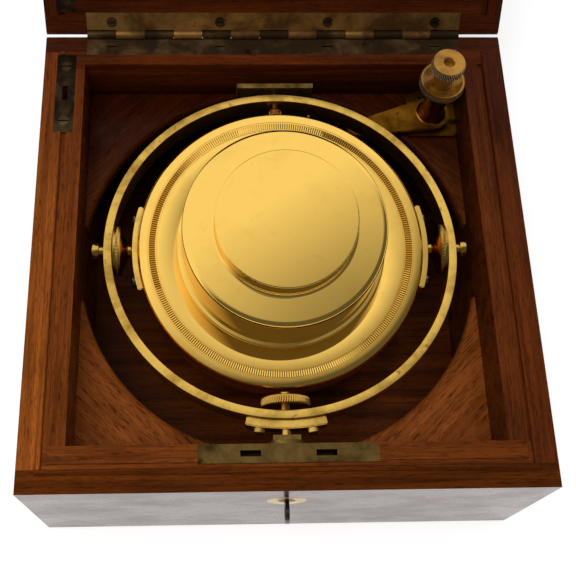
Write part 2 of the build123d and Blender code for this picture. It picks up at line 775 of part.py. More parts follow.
knob_low = nut_high - clamp_nut_dish + arm_clearance
head_low = rim + knob_head_low_rise
head_high = head_low + knob_head_height
knob = turned([(0, knob_low), (knob_neck_radius, knob_low),
               (knob_neck_radius, head_low - knob_flare), (knob_radius, head_low),
               (knob_radius, head_high), (0, head_high)])
knob = knob - rod(pillar_radius + running_clearance, rim,
                  rim + pillar_top_rise + piece_clearance)
knob = knob - rod(knob_hole_radius, head_high - knob_hole_depth, head_high + 1)
pieces["lock_knob"] = Pos(pillar_x, pillar_y, 0) * knob

# Lid: boards, top panel and lining drawn closed, then everything turned open about the hinge
bead_room = block(-inner_x - bead_rebate_width, inner_x + bead_rebate_width,
                  -inner_y - bead_rebate_width, inner_y, rim, lid_rim + bead_rebate_depth)
lid_hinge_cut = mirror(hinge_cut, about=rim_mirror)
lid_side_plate_cut = mirror(side_plate_cut, about=rim_mirror)
lid_front = block(-half_width, half_width, -half_depth, -inner_y, lid_rim, lid_side_top)
lid_back = block(-half_width, half_width, inner_y, half_depth, lid_rim, lid_side_top)
lid_back_edge = lid_back.edges().filter_by(Axis.X).filter_by(
    lambda e: e.center().Z < lid_rim + 0.1 and e.center().Y > half_depth - 0.1)
lid_back = chamfer(lid_back_edge, hinge_edge_chamfer) - lid_hinge_cut
lid_left = block(-half_width, -inner_x, -inner_y, inner_y, lid_rim, lid_side_top)
lid_right = block(inner_x, half_width, -inner_y, inner_y, lid_rim, lid_side_top)
lid_panel = block(-half_width, half_width, -half_depth, half_depth, lid_side_top, lid_top)
panel_edges = lid_panel.edges().filter_by(lambda e: e.center().Z > lid_top - 0.1)
lid_panel = fillet(panel_edges, lid_panel_round)
lid_lining = [
    block(-inner_x, inner_x, -inner_y, well_front, lid_rim, lid_side_top) - link_plate_cut,
    block(-inner_x, inner_x, well_back, inner_y, lid_rim, lid_side_top) - lid_hinge_cut
    - lid_side_plate_cut,
    block(-inner_x, -well_x, well_front, well_back, lid_rim, lid_side_top) - lid_side_plate_cut,
    block(well_x, inner_x, well_front, well_back, lid_rim, lid_side_top)]
lid_screws = []
for place in hinge_screw_places + slot_screw_places + lock_screw_places:
    lid_screws.append(mirror(place * rim_screw, about=rim_mirror))
open_lid = Pos(0, hinge_y, hinge_z) * Rot(X=-lid_opening) * Pos(0, -hinge_y, -hinge_z)
pieces["lid_front_board"] = open_lid * (lid_front - bead_room)
pieces["lid_back_board"] = open_lid * lid_back
pieces["lid_side_boards"] = open_lid * group([lid_left - bead_room - lid_side_plate_cut,
                                              lid_right - bead_room])
pieces["lid_panel"] = open_lid * lid_panel
pieces["lid_lining"] = open_lid * group(lid_lining)
pieces["hinge_lid_leaf"] = open_lid * lid_leaf
pieces["tongue_plate"] = open_lid * tongue_plate
pieces["link_plate"] = open_lid * link_plate
pieces["lid_screws"] = open_lid * group(lid_screws)

base_screws = []
for place in hinge_screw_places + slot_screw_places:
    base_screws.append(place * rim_screw)
for place in front_bracket_screw_places + back_bracket_screw_places:
    base_screws.append(place * bracket_screw)
for place in foot_screw_places:
    base_screws.append(place * foot_screw)
pieces["base_screws"] = group(base_screws)

# Gimbal ring, its pad at the front, two side pivots for the bowl and two end journals
at_pivots = Pos(0, 0, pivot_z)
ring = rod(ring_radius, -ring_height / 2, ring_height / 2)
ring = ring - rod(ring_inner, -ring_height, ring_height)
neck_hole = Cylinder(neck_radius + running_clearance, 4 * ring_radius)
stem_hole = rod(back_stem_radius + running_clearance, 0, 2 * ring_radius)
ring_pad = curved_strip(ring_radius, ring_radius + ring_pad_thickness, -ring_pad_height / 2,
                        ring_pad_height / 2, ring_pad_half_angle, -90)
front_neck_hole = rod(neck_radius + running_clearance, 0, 2 * ring_radius)
ring = ring - along_x(neck_hole) - along_front(front_neck_hole) - along_back(stem_hole)
ring_pad = ring_pad - along_front(front_neck_hole)
pad_screws = []
for side in (-1, 1):
    turn = Rot(Z=side * ring_pad_screw_angle)
    pad_outer = Pos(0, -ring_radius - ring_pad_thickness, 0) * Rot(X=90)
    pad_screw = slotted(round_screw(pad_head_radius, pad_head_height, pad_shank_radius,
                                    pad_shank_length), pad_head_radius, pad_head_height)
    pad_screws.append(turn * pad_outer * pad_screw)
    pad_hole = turn * pad_outer * Cylinder(pad_shank_radius + running_clearance,
                                           3 * pad_shank_length)
    ring = ring - pad_hole
    ring_pad = ring_pad - pad_hole
pieces["gimbal_ring"] = at_pivots * ring
pieces["ring_pad"] = at_pivots * ring_pad
pieces["ring_pad_screws"] = at_pivots * group(pad_screws)

side_head_end = math.sqrt(ring_inner**2 - side_head_radius**2) - 2 * running_clearance
side_head_start = side_head_end - side_head_thickness
side_tip_start = bowl_inner + side_tip_depth
side_stem_start = bowl_radius + bowl_pad_thickness + side_stem_gap
side_end_start = ring_radius + side_end_gap
side_pivot = turned([
    (0, side_tip_start), (side_tip_radius, side_tip_start), (side_tip_radius, side_stem_start),
    (side_stem_radius, side_stem_start), (side_stem_radius, side_head_start - side_cone_length),
    (side_head_radius - side_head_edge, side_head_start), (side_head_radius, side_head_start),
    (side_head_radius, side_head_end), (neck_radius, side_head_end),
    (neck_radius, side_end_start), (side_end_radius, side_end_start),
    (side_end_radius, side_end_start + side_end_length), (0, side_end_start + side_end_length)])
end_head_end = ring_inner - end_head_gap
end_head_start = end_head_end - end_head_thickness
end_boss_start = bowl_radius + end_boss_gap
back_collar_end = ring_radius + back_collar_length
back_stem_end = upright_back - running_clearance
front_journal = turned([
    (0, end_boss_start), (end_boss_radius, end_boss_start), (end_boss_radius, end_head_start),
    (end_head_radius, end_head_start), (end_head_radius, end_head_end),
    (neck_radius, end_head_end), (neck_radius, ring_radius + ring_pad_thickness),
    (journal_radius, ring_radius + ring_pad_thickness), (journal_radius, journal_end),
    (0, journal_end)])
back_journal = turned([
    (0, end_boss_start), (end_boss_radius, end_boss_start), (end_boss_radius, end_head_start),
    (end_head_radius, end_head_start), (end_head_radius, end_head_end),
    (back_stem_radius, end_head_end), (back_stem_radius, ring_radius),
    (back_collar_radius, ring_radius), (back_collar_radius, back_collar_end),
    (back_stem_radius, back_collar_end), (back_stem_radius, back_stem_end), (0, back_stem_end)])
pieces["bowl_pivot_screws"] = at_pivots * group([along_x(side_pivot), Rot(Y=-90) * side_pivot])
pieces["ring_pivot_screws"] = at_pivots * group([along_front(front_journal),
                                                 along_back(back_journal)])

# Bowl: drum with its inner ledge, curved side pads, back plate, bezel and glass
bowl_pose = at_pivots * Rot(X=bowl_tilt)
ledge_low = pillar_plate_low + pillar_plate_thickness
drum = turned([
    (bowl_inner, bowl_mouth), (bowl_radius, bowl_mouth), (bowl_radius, back_plate_low),
    (bowl_inner, back_plate_low), (bowl_inner, ledge_low + ledge_height),
    (bowl_inner - ledge_width, ledge_low + ledge_height), (bowl_inner - ledge_width, ledge_low),
    (bowl_inner, ledge_low)])
tip_hole = along_x(Cylinder(side_tip_radius + running_clearance, 4 * bowl_radius))
drum = drum - tip_hole
bowl_pads = []
bowl_pad_screws = []
pad_screw = slotted(round_screw(small_head_radius, small_head_height, small_shank_radius,
                                small_shank_length), small_head_radius, small_head_height)
for middle_angle in (0, 180):
    pad = curved_strip(bowl_radius, bowl_radius + bowl_pad_thickness, -bowl_pad_height / 2,
                       bowl_pad_height / 2, bowl_pad_half_angle, middle_angle) - tip_hole
    for side in (-1, 1):
        place = Rot(Z=middle_angle + side * bowl_pad_screw_angle) * Pos(
            bowl_radius + bowl_pad_thickness, 0, 0) * Rot(Y=90)
        bowl_pad_screws.append(place * pad_screw)
        screw_bore = place * Cylinder(small_shank_radius + running_clearance,
                                      3 * small_shank_length)
        pad = pad - screw_bore
        drum = drum - screw_bore
    bowl_pads.append(pad)
pieces["bowl_drum"] = bowl_pose * drum
pieces["bowl_pads"] = bowl_pose * group(bowl_pads)

cap_foot_radius = bowl_radius - cap_setback
cap_wall_radius = cap_foot_radius - cap_foot_width
back_opening_radius = cap_wall_radius + cap_clearance
spigot_inner = bowl_inner - spigot_width
back_plate = turned([
    (back_opening_radius, back_plate_low), (spigot_inner, back_plate_low),
    (spigot_inner, back_plate_low - back_plate_spigot),
    (bowl_inner - running_clearance, back_plate_low - back_plate_spigot),
    (bowl_inner - running_clearance, back_plate_low), (bowl_radius, back_plate_low),
    (bowl_radius, back_plate_high - back_plate_bevel),
    (bowl_radius - back_plate_bevel, back_plate_high), (back_opening_radius, back_plate_high)])
pieces["bowl_back_plate"] = bowl_pose * back_plate

bezel_radius = bowl_radius - bezel_step
bezel_sight_radius = bowl_radius - bezel_lip
glass_radius = bowl_radius - glass_step
bezel_low = bowl_mouth - bezel_thickness
glass_top = bowl_mouth - glass_recess
glass_low = glass_top - glass_thickness
bezel = turned([
    (bezel_sight_radius, glass_low), (bezel_sight_radius, bezel_low + bezel_chamfer),
    (bezel_sight_radius + bezel_chamfer, bezel_low), (bezel_radius - bezel_chamfer, bezel_low),
    (bezel_radius, bezel_low + bezel_chamfer), (bezel_radius, bowl_mouth),
    (bowl_inner - running_clearance, bowl_mouth),
    (bowl_inner - running_clearance, bowl_mouth + bezel_spigot),
    (spigot_inner, bowl_mouth + bezel_spigot), (spigot_inner, bowl_mouth),
    (glass_radius + running_clearance, bowl_mouth), (glass_radius + running_clearance, glass_low)])
pieces["bezel"] = bowl_pose * bezel
pieces["glass"] = bowl_pose * rod(glass_radius, glass_low, glass_top)

# Dust cap: two tiers of one turned brass cover, hollow, held in the back plate's opening
foot_z = back_plate_high
foot_high = foot_z + cap_foot_thickness
cap_shoulder_radius = cap_wall_radius - cap_wall_taper
cap_top_radius = cap_top_share * cap_foot_radius
shoulder_low = cap_shoulder_level - cap_shoulder_round
shoulder_inner = cap_shoulder_radius - cap_shoulder_round
shoulder = RadiusArc((cap_shoulder_radius, shoulder_low), (shoulder_inner, cap_shoulder_level),
                     cap_shoulder_round)
cap_outer = make_face([
    Polyline([(shoulder_inner, cap_shoulder_level),
              (cap_top_radius + cap_top_fillet, cap_shoulder_level),
              (cap_top_radius, cap_shoulder_level + cap_top_fillet),
              (cap_top_radius, cap_top_level - cap_edge),
              (cap_top_radius - cap_edge, cap_top_level), (0, cap_top_level),
              (0, foot_z - cap_spigot), (cap_wall_radius, foot_z - cap_spigot),
              (cap_wall_radius, foot_z), (cap_foot_radius, foot_z),
              (cap_foot_radius, foot_high), (cap_wall_radius, foot_high),
              (cap_shoulder_radius, shoulder_low)]),
    shoulder])
cap_room = turned([
    (0, 0), (cap_wall_radius - cap_skin, 0), (cap_wall_radius - cap_skin, foot_z),
    (cap_shoulder_radius - cap_skin, shoulder_low),
    (shoulder_inner, cap_shoulder_level - cap_skin),
    (cap_top_radius - cap_skin, cap_shoulder_level - cap_skin),
    (cap_top_radius - cap_skin, cap_top_level - cap_skin), (0, cap_top_level - cap_skin)])
pieces["dust_cap"] = bowl_pose * (revolve(Plane.XZ * cap_outer, Axis.Z) - cap_room)
steady_pin = Rot(Z=steady_pin_angle) * Pos(bowl_radius, 0, back_plate_low - steady_pin_radius) * (
    Rot(Y=90) * rod(steady_pin_radius, 0, steady_pin_length))
pieces["bowl_screws"] = bowl_pose * group(bowl_pad_screws + [steady_pin])

# Movement frame: pillar plate, three pillars, top plate and the dial on its feet
plate_top = pillar_plate_low + pillar_plate_thickness
dial_radius = bowl_inner - dial_gap
pillar_plate_radius = bowl_inner - spigot_width
top_plate_high = top_plate_low + top_plate_thickness
dial_high = dial_level + dial_thickness
pivots = [(0, 0, arbor_radius), (barrel_x, barrel_y, arbor_radius),
          (fusee_x, barrel_y, arbor_radius), (third_x, third_y, slim_arbor_radius),
          (0, seconds_y, slim_arbor_radius), (escape_x, escape_y, slim_arbor_radius)]
pillar_plate = rod(pillar_plate_radius, pillar_plate_low, plate_top)
top_plate = rod(top_plate_radius, top_plate_low, top_plate_high)
dial = rod(dial_radius, dial_level, dial_high)
for x, y, radius in pivots:
    bore = rod(radius + running_clearance, dial_level - 1, escape_wheel_low, x, y)
    pillar_plate = pillar_plate - bore
    top_plate = top_plate - bore
dial = dial - rod(hour_pipe_radius + 2 * running_clearance, dial_level - 1, dial_high + 1)
dial = dial - rod(slim_arbor_radius + running_clearance, dial_level - 1, dial_high + 1, 0, seconds_y)
pillar_plate = pillar_plate - rod(hour_pipe_radius + 2 * running_clearance,
                                  pillar_plate_low - 1, pillar_plate_low + 2 * hour_pipe_depth)
for angle in dial_foot_angles:
    foot_x = dial_foot_circle * math.cos(math.radians(angle))
    foot_y = dial_foot_circle * math.sin(math.radians(angle))
    dial = dial + rod(dial_foot_radius, dial_level, pillar_plate_low, foot_x, foot_y)
pieces["dial"] = bowl_pose * dial
pieces["pillar_plate"] = bowl_pose * pillar_plate
pieces["top_plate"] = bowl_pose * top_plate
plate_pillars = []
for angle in plate_pillar_angles:
    x = plate_pillar_circle * math.cos(math.radians(angle))
    y = plate_pillar_circle * math.sin(math.radians(angle))
    pillar_end = plate_pillar_radius + plate_pillar_foot / 2
    turned_pillar = turned([
        (0, plate_top), (pillar_end, plate_top), (pillar_end, plate_top + plate_pillar_foot),
        (plate_pillar_radius, plate_top + 2 * plate_pillar_foot),
        (plate_pillar_radius, top_plate_low - 2 * plate_pillar_foot),
        (pillar_end, top_plate_low - plate_pillar_foot), (pillar_end, top_plate_low),
        (0, top_plate_low)])
    plate_pillars.append(Pos(x, y, 0) * turned_pillar)
pieces["plate_pillars"] = bowl_pose * group(plate_pillars)

# Going train: barrel, fusee with its great wheel, and the wheels up to the escapement
train_low = pillar_plate_low + hour_pipe_depth
train_high = top_plate_high
barrel = rod(barrel_radius, barrel_low, barrel_low + barrel_height)
barrel = barrel + rod(arbor_radius, train_low, train_high)
pieces["barrel"] = bowl_pose * (Pos(barrel_x, barrel_y, 0) * barrel)

cone_low = great_wheel_low + wheel_thickness
cone_points = [(0, cone_low)]
for i in range(2 * fusee_turns + 1):
    share = i / (2 * fusee_turns)
    radius = fusee_wide_radius + share * (fusee_narrow_radius - fusee_wide_radius)
    if i % 2:
        radius = radius - fusee_groove_depth
    cone_points.append((radius, cone_low + share * fusee_height))
cone_points.append((0, cone_low + fusee_height))
fusee = turned(cone_points) + Pos(0, 0, great_wheel_low) * toothed_disc(
    90, great_wheel_radius, wheel_thickness)
fusee = fusee + rod(arbor_radius, train_low, train_high)
pieces["fusee"] = bowl_pose * (Pos(fusee_x, barrel_y, 0) * fusee)

chain_share = (chain_level - cone_low) / fusee_height
chain_fusee_radius = fusee_wide_radius + chain_share * (fusee_narrow_radius - fusee_wide_radius)


def chain_outline(extra):
    """The taut outline round barrel and fusee at the chain's level."""
    circles = [CenterArc((barrel_x, barrel_y), barrel_radius + extra, 0, 360),
               CenterArc((fusee_x, barrel_y), chain_fusee_radius + extra, 0, 360)]
    return make_hull(circles)


chain_run = chain_outline(piece_clearance + chain_thickness) - chain_outline(piece_clearance)
chain = Pos(0, 0, chain_level) * extrude(chain_run, chain_height)
chain_half = block(-bowl_radius, bowl_radius, -bowl_radius, barrel_y,
                   chain_level - 1, chain_level + chain_height + 1)
pieces["fusee_chain"] = bowl_pose * (chain & chain_half)


def arbor_with(wheel, wheel_low, slim_pinion, radius, low, high):
    """A wheel and a pinion on one arbor."""
    return Pos(0, 0, wheel_low) * wheel + slim_pinion + rod(radius, low, high)


minute_low = bowl_mouth + hand_gap
hour_low = minute_low + hand_thickness + hand_gap
second_low = hour_low + hand_thickness + hand_gap
centre_pinion_radius = math.hypot(fusee_x, barrel_y) - great_wheel_radius - tooth_gap
centre = arbor_with(crossed_wheel(90, centre_wheel_radius, 4), centre_wheel_low,
                    pinion(14, centre_pinion_radius, great_wheel_low),
                    arbor_radius, minute_low, train_high)
pieces["centre_wheel"] = bowl_pose * centre

third_pinion_radius = math.hypot(third_x, third_y) - centre_wheel_radius - tooth_gap
third = arbor_with(crossed_wheel(80, third_wheel_radius, 4), third_wheel_low,
                   pinion(12, third_pinion_radius, centre_wheel_low),
                   slim_arbor_radius, train_low, train_high)
pieces["third_wheel"] = bowl_pose * (Pos(third_x, third_y, 0) * third)

fourth_distance = math.hypot(third_x, third_y - seconds_y)
fourth = arbor_with(crossed_wheel(80, fourth_wheel_radius, 4), fourth_wheel_low,
                    pinion(10, fourth_distance - third_wheel_radius - tooth_gap, third_wheel_low),
                    slim_arbor_radius, second_low, train_high)
pieces["fourth_wheel"] = bowl_pose * (Pos(0, seconds_y, 0) * fourth)

escape_distance = math.hypot(escape_x, escape_y - seconds_y)
escape = arbor_with(crossed_wheel(15, escape_wheel_radius, 4), escape_wheel_low,
                    pinion(10, escape_distance - fourth_wheel_radius - tooth_gap, fourth_wheel_low),
                    slim_arbor_radius, train_low,
                    escape_wheel_low + wheel_thickness + pinion_extra)
pieces["escape_wheel"] = bowl_pose * (Pos(escape_x, escape_y, 0) * escape)

# Balance with its helical spring under a cock, and the spring detent
balance = rod(balance_radius, 0, balance_height)
balance = balance - rod(balance_radius - balance_rim, -1, balance_height + 1)
for side in (-1, 1):
    gap_edge = side * balance_radius
    balance = balance - block(-balance_gap / 2, balance_gap / 2, min(0, gap_edge),
                              max(0, gap_edge), -1, balance_height + 1)
arm_half = balance_radius - balance_rim / 2
balance = balance + block(-arm_half, arm_half, -balance_arm_width / 2, balance_arm_width / 2,
                          0, balance_height / 2)
for side in (-1, 1):
    balance = balance + rod(balance_weight_radius, 0, balance_height, side * arm_half)
balance = Pos(0, 0, balance_low) * balance
collet_top = balance_spring_low - balance_spring_wire - running_clearance
balance = balance + rod(balance_spring_radius + balance_spring_wire,
                        collet_top - wheel_thickness, collet_top)
balance = balance + rod(slim_arbor_radius, top_plate_high + piece_clearance,
                        cock_low + cock_thickness / 2)
balance = balance + rod(roller_radius, escape_wheel_low, escape_wheel_low + wheel_thickness)
pieces["balance_wheel"] = bowl_pose * (Pos(balance_x, balance_y, 0) * balance)

spring_points = []
for i in range(balance_spring_turns * balance_spring_sides + 1):
    angle = 2 * math.pi * i / balance_spring_sides
    share = i / (balance_spring_turns * balance_spring_sides)
    spring_points.append((balance_spring_radius * math.cos(angle),
                          balance_spring_radius * math.sin(angle),
                          share * balance_spring_height))
spring_path = Polyline(spring_points)
spring_plane = Plane(origin=spring_path @ 0, z_dir=spring_path % 0)
balance_spring = sweep(spring_plane * Rectangle(balance_spring_wire, balance_spring_wire),
                       path=spring_path, transition=Transition.RIGHT)
pieces["balance_spring"] = bowl_pose * (
    Pos(balance_x, balance_y, balance_spring_low) * balance_spring)

cock_span = math.hypot(balance_x - cock_foot_x, balance_y - cock_foot_y)
cock_angle = math.degrees(math.atan2(balance_y - cock_foot_y, balance_x - cock_foot_x))
cock = rod(cock_foot_radius, top_plate_high, cock_low + cock_thickness)
cock = cock + block(0, cock_span, -cock_head_radius, cock_head_radius, cock_low,
                    cock_low + cock_thickness)
cock = cock + rod(cock_head_radius, cock_low, cock_low + cock_thickness, cock_span)
cock = cock - rod(slim_arbor_radius + running_clearance, cock_low - 1,
                  cock_low + cock_thickness / 2 + running_clearance, cock_span)
pieces["balance_cock"] = bowl_pose * (Pos(cock_foot_x, cock_foot_y, 0) * Rot(Z=cock_angle) * cock)

# Hands, under the glass on the dial side
hour_hand = block(-hand_width / 2, hand_width / 2, 0, hour_hand_length, hour_low,
                  hour_low + hand_thickness)
hour_hand = hour_hand + rod(hour_pipe_radius + arm_width / 2, hour_low, hour_low + hand_thickness)
hour_hand = hour_hand + rod(hour_pipe_radius, hour_low, pillar_plate_low + hour_pipe_depth)
hour_hand = hour_hand - rod(arbor_radius + running_clearance, hour_low - 1, plate_top)
pieces["hour_hand"] = bowl_pose * (Rot(Z=hour_hand_angle) * hour_hand)
minute_hand = block(-hand_width / 2, hand_width / 2, -minute_hand_tail, minute_hand_length,
                    minute_low, minute_low + hand_thickness)
minute_hand = minute_hand + rod(hour_pipe_radius, minute_low, minute_low + hand_thickness)
minute_hand = minute_hand - rod(arbor_radius, minute_low - 1, plate_top)
pieces["minute_hand"] = bowl_pose * (Rot(Z=minute_hand_angle) * minute_hand)
second_hand = block(-hand_width / 4, hand_width / 4, -second_hand_tail, second_hand_length,
                    second_low, second_low + hand_thickness)
second_hand = second_hand + rod(2 * slim_arbor_radius, second_low, second_low + hand_thickness)
second_hand = second_hand - rod(slim_arbor_radius, second_low - 1, dial_level)
pieces["second_hand"] = bowl_pose * (
    Pos(0, seconds_y, 0) * Rot(Z=second_hand_angle) * second_hand)

os.makedirs("parts", exist_ok=True)
for name, shape in pieces.items():
    export_step(shape, f"parts/{name}.step")
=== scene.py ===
import math

import bmesh
import bpy
from mathutils import Matrix, Vector


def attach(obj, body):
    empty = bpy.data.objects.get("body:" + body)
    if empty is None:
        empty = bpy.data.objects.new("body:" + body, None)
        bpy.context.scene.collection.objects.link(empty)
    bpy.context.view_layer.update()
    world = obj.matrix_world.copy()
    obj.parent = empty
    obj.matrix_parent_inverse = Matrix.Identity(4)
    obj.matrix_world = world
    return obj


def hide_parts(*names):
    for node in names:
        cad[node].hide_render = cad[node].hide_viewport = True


# Marine chronometer in its open box, seen from above and in front. The bowl hangs upside down in
# its gimbals, so that its brass back and dust cap face up. Sizes are written in millimetres.
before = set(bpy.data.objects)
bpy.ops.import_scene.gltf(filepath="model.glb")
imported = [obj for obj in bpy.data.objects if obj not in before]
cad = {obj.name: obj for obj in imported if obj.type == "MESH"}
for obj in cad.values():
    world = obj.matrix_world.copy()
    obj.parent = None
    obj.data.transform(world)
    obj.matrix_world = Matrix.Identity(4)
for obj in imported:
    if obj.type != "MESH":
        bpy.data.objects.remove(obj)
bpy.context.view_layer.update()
mm = 0.001


# Camera: stands in front of the box and looks steeply down into it. The picture's frame is
# square and a little off the lens axis.
camera_place = Vector((-0.02477, -0.15509, 0.41548))
camera_forward = Vector((0.0314, 0.3878, -0.9212)).normalized()
camera_up = Vector((0.0076, 0.9215, 0.3882))
camera_right = camera_forward.cross(camera_up).normalized()
camera_up = camera_right.cross(camera_forward)
lens = bpy.data.cameras.new("camera")
lens.sensor_width = 36.0
lens.lens = 60.97
lens.shift_x = 0.0705
lens.shift_y = -0.0307
lens.clip_start = 0.01
camera = bpy.data.objects.new("camera", lens)
camera.matrix_world = Matrix.Translation(camera_place) @ Matrix(
    (camera_right, camera_up, -camera_forward)).transposed().to_4x4()
bpy.context.scene.collection.objects.link(camera)
bpy.context.scene.camera = camera
bpy.context.scene.view_settings.view_transform = "Standard"


# Table and light: a white table that runs out to a white room, one wide soft lamp overhead and
# a smaller one above the right side. Polished pieces mirror the room, which is bright at the back
# left and dimmer at the front right.
def node(tree, kind, inputs=None, **settings):
    """Adds a node. An input that is another node's socket is linked, any other is set."""
    made = tree.nodes.new(kind)
    for name, value in settings.items():
        setattr(made, name, value)
    for name, value in (inputs or {}).items():
        if isinstance(value, bpy.types.NodeSocket):
            tree.links.new(value, made.inputs[name])
        else:
            made.inputs[name].default_value = value
    return made


def seen_directly(tree):
    """1 for rays that should find a plain white room: the camera's, and those off gloss."""
    path = node(tree, "ShaderNodeLightPath")
    glossy = node(tree, "ShaderNodeMath", {0: path.outputs["Is Camera Ray"],
                                           1: path.outputs["Is Glossy Ray"]}, operation="MAXIMUM")
    return node(tree, "ShaderNodeMath", {0: glossy.outputs[0],
                                         1: path.outputs["Is Transmission Ray"]},
                operation="MAXIMUM").outputs[0]


def blank_material(name):
    """A material with an empty tree, and the tree."""
    material = bpy.data.materials.new(name)
    material.use_nodes = True
    material.node_tree.nodes.clear()
    return material, material.node_tree


room_light, room_dimmest, room_fade = 0.42, 0.12, 0.17
room = bpy.data.worlds.new("white room")
room.use_nodes = True
tree = room.node_tree
tree.nodes.clear()
room_way = node(tree, "ShaderNodeSeparateXYZ", {
    0: node(tree, "ShaderNodeTexCoord").outputs["Generated"]}).outputs
back_left = node(tree, "ShaderNodeMath", {0: room_way[0], 1: -0.6, 2: room_way[1]},
                 operation="MULTIPLY_ADD")
room_gloss = node(tree, "ShaderNodeMapRange", {
    "Value": back_left.outputs[0], "From Min": -room_fade, "From Max": room_fade,
    "To Min": room_dimmest, "To Max": 1.0})
room_white = node(tree, "ShaderNodeMath", {
    0: room_gloss.outputs[0],
    1: node(tree, "ShaderNodeLightPath").outputs["Is Camera Ray"]}, operation="MAXIMUM")
room_strength = node(tree, "ShaderNodeMix", {
    0: seen_directly(tree), 2: room_light, 3: room_white.outputs[0]})
room_sky = node(tree, "ShaderNodeBackground", {
    "Color": (1.0, 1.0, 1.0, 1.0), "Strength": room_strength.outputs[0]})
node(tree, "ShaderNodeOutputWorld", {"Surface": room_sky.outputs[0]})
bpy.context.scene.world = room

table_mesh = bpy.data.meshes.new("table")
table_shape = bmesh.new()
bmesh.ops.create_grid(table_shape, x_segments=8, y_segments=8, size=6.0)
table_shape.to_mesh(table_mesh)
table_shape.free()
table = bpy.data.objects.new("table", table_mesh)
bpy.context.scene.collection.objects.link(table)
table_paint, tree = blank_material("white table")
table_wash = node(tree, "ShaderNodeMapRange", {
    "Value": seen_directly(tree), "To Min": 0.0, "To Max": 0.5})
table_coat = node(tree, "ShaderNodeBsdfPrincipled", {
    "Base Color": (0.86, 0.86, 0.86, 1.0), "Roughness": 0.8, "Specular IOR Level": 0.0,
    "Emission Color": (1.0, 1.0, 1.0, 1.0), "Emission Strength": table_wash.outputs[0]})
node(tree, "ShaderNodeOutputMaterial", {"Surface": table_coat.outputs[0]})
table_mesh.materials.append(table_paint)


def soft_lamp(name, place, aim, width, watts):
    """A round lamp that lights the pieces but doesn't show in their polish."""
    light = bpy.data.lights.new(name, "AREA")
    light.shape = "DISK"
    light.size = width
    light.energy = watts
    lamp = bpy.data.objects.new(name, light)
    lamp.location = place
    lamp.rotation_euler = (Vector(aim) - Vector(place)).to_track_quat("-Z", "Y").to_euler()
    lamp.visible_glossy = False
    bpy.context.scene.collection.objects.link(lamp)


soft_lamp("overhead lamp", (-0.30, -0.25, 1.20), (0.0, 0.0, 0.05), 0.7, 6.5)
soft_lamp("rear lamp", (0.32, 0.11, 1.10), (0.05, -0.05, 0.07), 0.12, 1.0)


# Box boards: solid mahogany, French polished. The grain runs along each board, with fine dark
# pores, slow ribbons of figure and a little dirt rubbed into the polish. Painted shade darkens
# them to the back, deep in the box and to the right.
def new_group(name, inputs, outputs):
    """A shader group with named sockets, and the sockets that its inputs give inside it."""
    group = bpy.data.node_groups.new(name, "ShaderNodeTree")
    for label, kind, value in inputs:
        socket = group.interface.new_socket(label, in_out="INPUT", socket_type=kind)
        if value is not None:
            socket.default_value = value
    for label, kind in outputs:
        group.interface.new_socket(label, in_out="OUTPUT", socket_type=kind)
    return group, node(group, "NodeGroupInput").outputs


def stretched_noise(tree, place, scale, detail=4.0, roughness=0.55, distortion=0.0):
    """Noise on a place stretched by scale, in waves a metre along X, Y and Z."""
    mapped = node(tree, "ShaderNodeMapping", {"Vector": place, "Scale": scale})
    return node(tree, "ShaderNodeTexNoise", {
        "Vector": mapped.outputs[0], "Scale": 1.0, "Detail": detail, "Roughness": roughness,
        "Distortion": distortion}).outputs["Fac"]


def ramped(tree, value, low, high, to_low=0.0, to_high=1.0):
    """A smooth rise from to_low to to_high while the value goes from low to high."""
    return node(tree, "ShaderNodeMapRange", {
        "Value": value, "From Min": low, "From Max": high, "To Min": to_low, "To Max": to_high},
        interpolation_type="SMOOTHSTEP").outputs[0]


def sums(tree, first, second, operation="ADD"):
    """One sum on two values."""
    return node(tree, "ShaderNodeMath", {0: first, 1: second}, operation=operation).outputs[0]


def blended(tree, share, first, second, blend="MIX"):
    """The second colour over the first, by its share."""
    return node(tree, "ShaderNodeMix", {0: share, 6: first, 7: second}, data_type="RGBA",
                blend_type=blend).outputs[2]


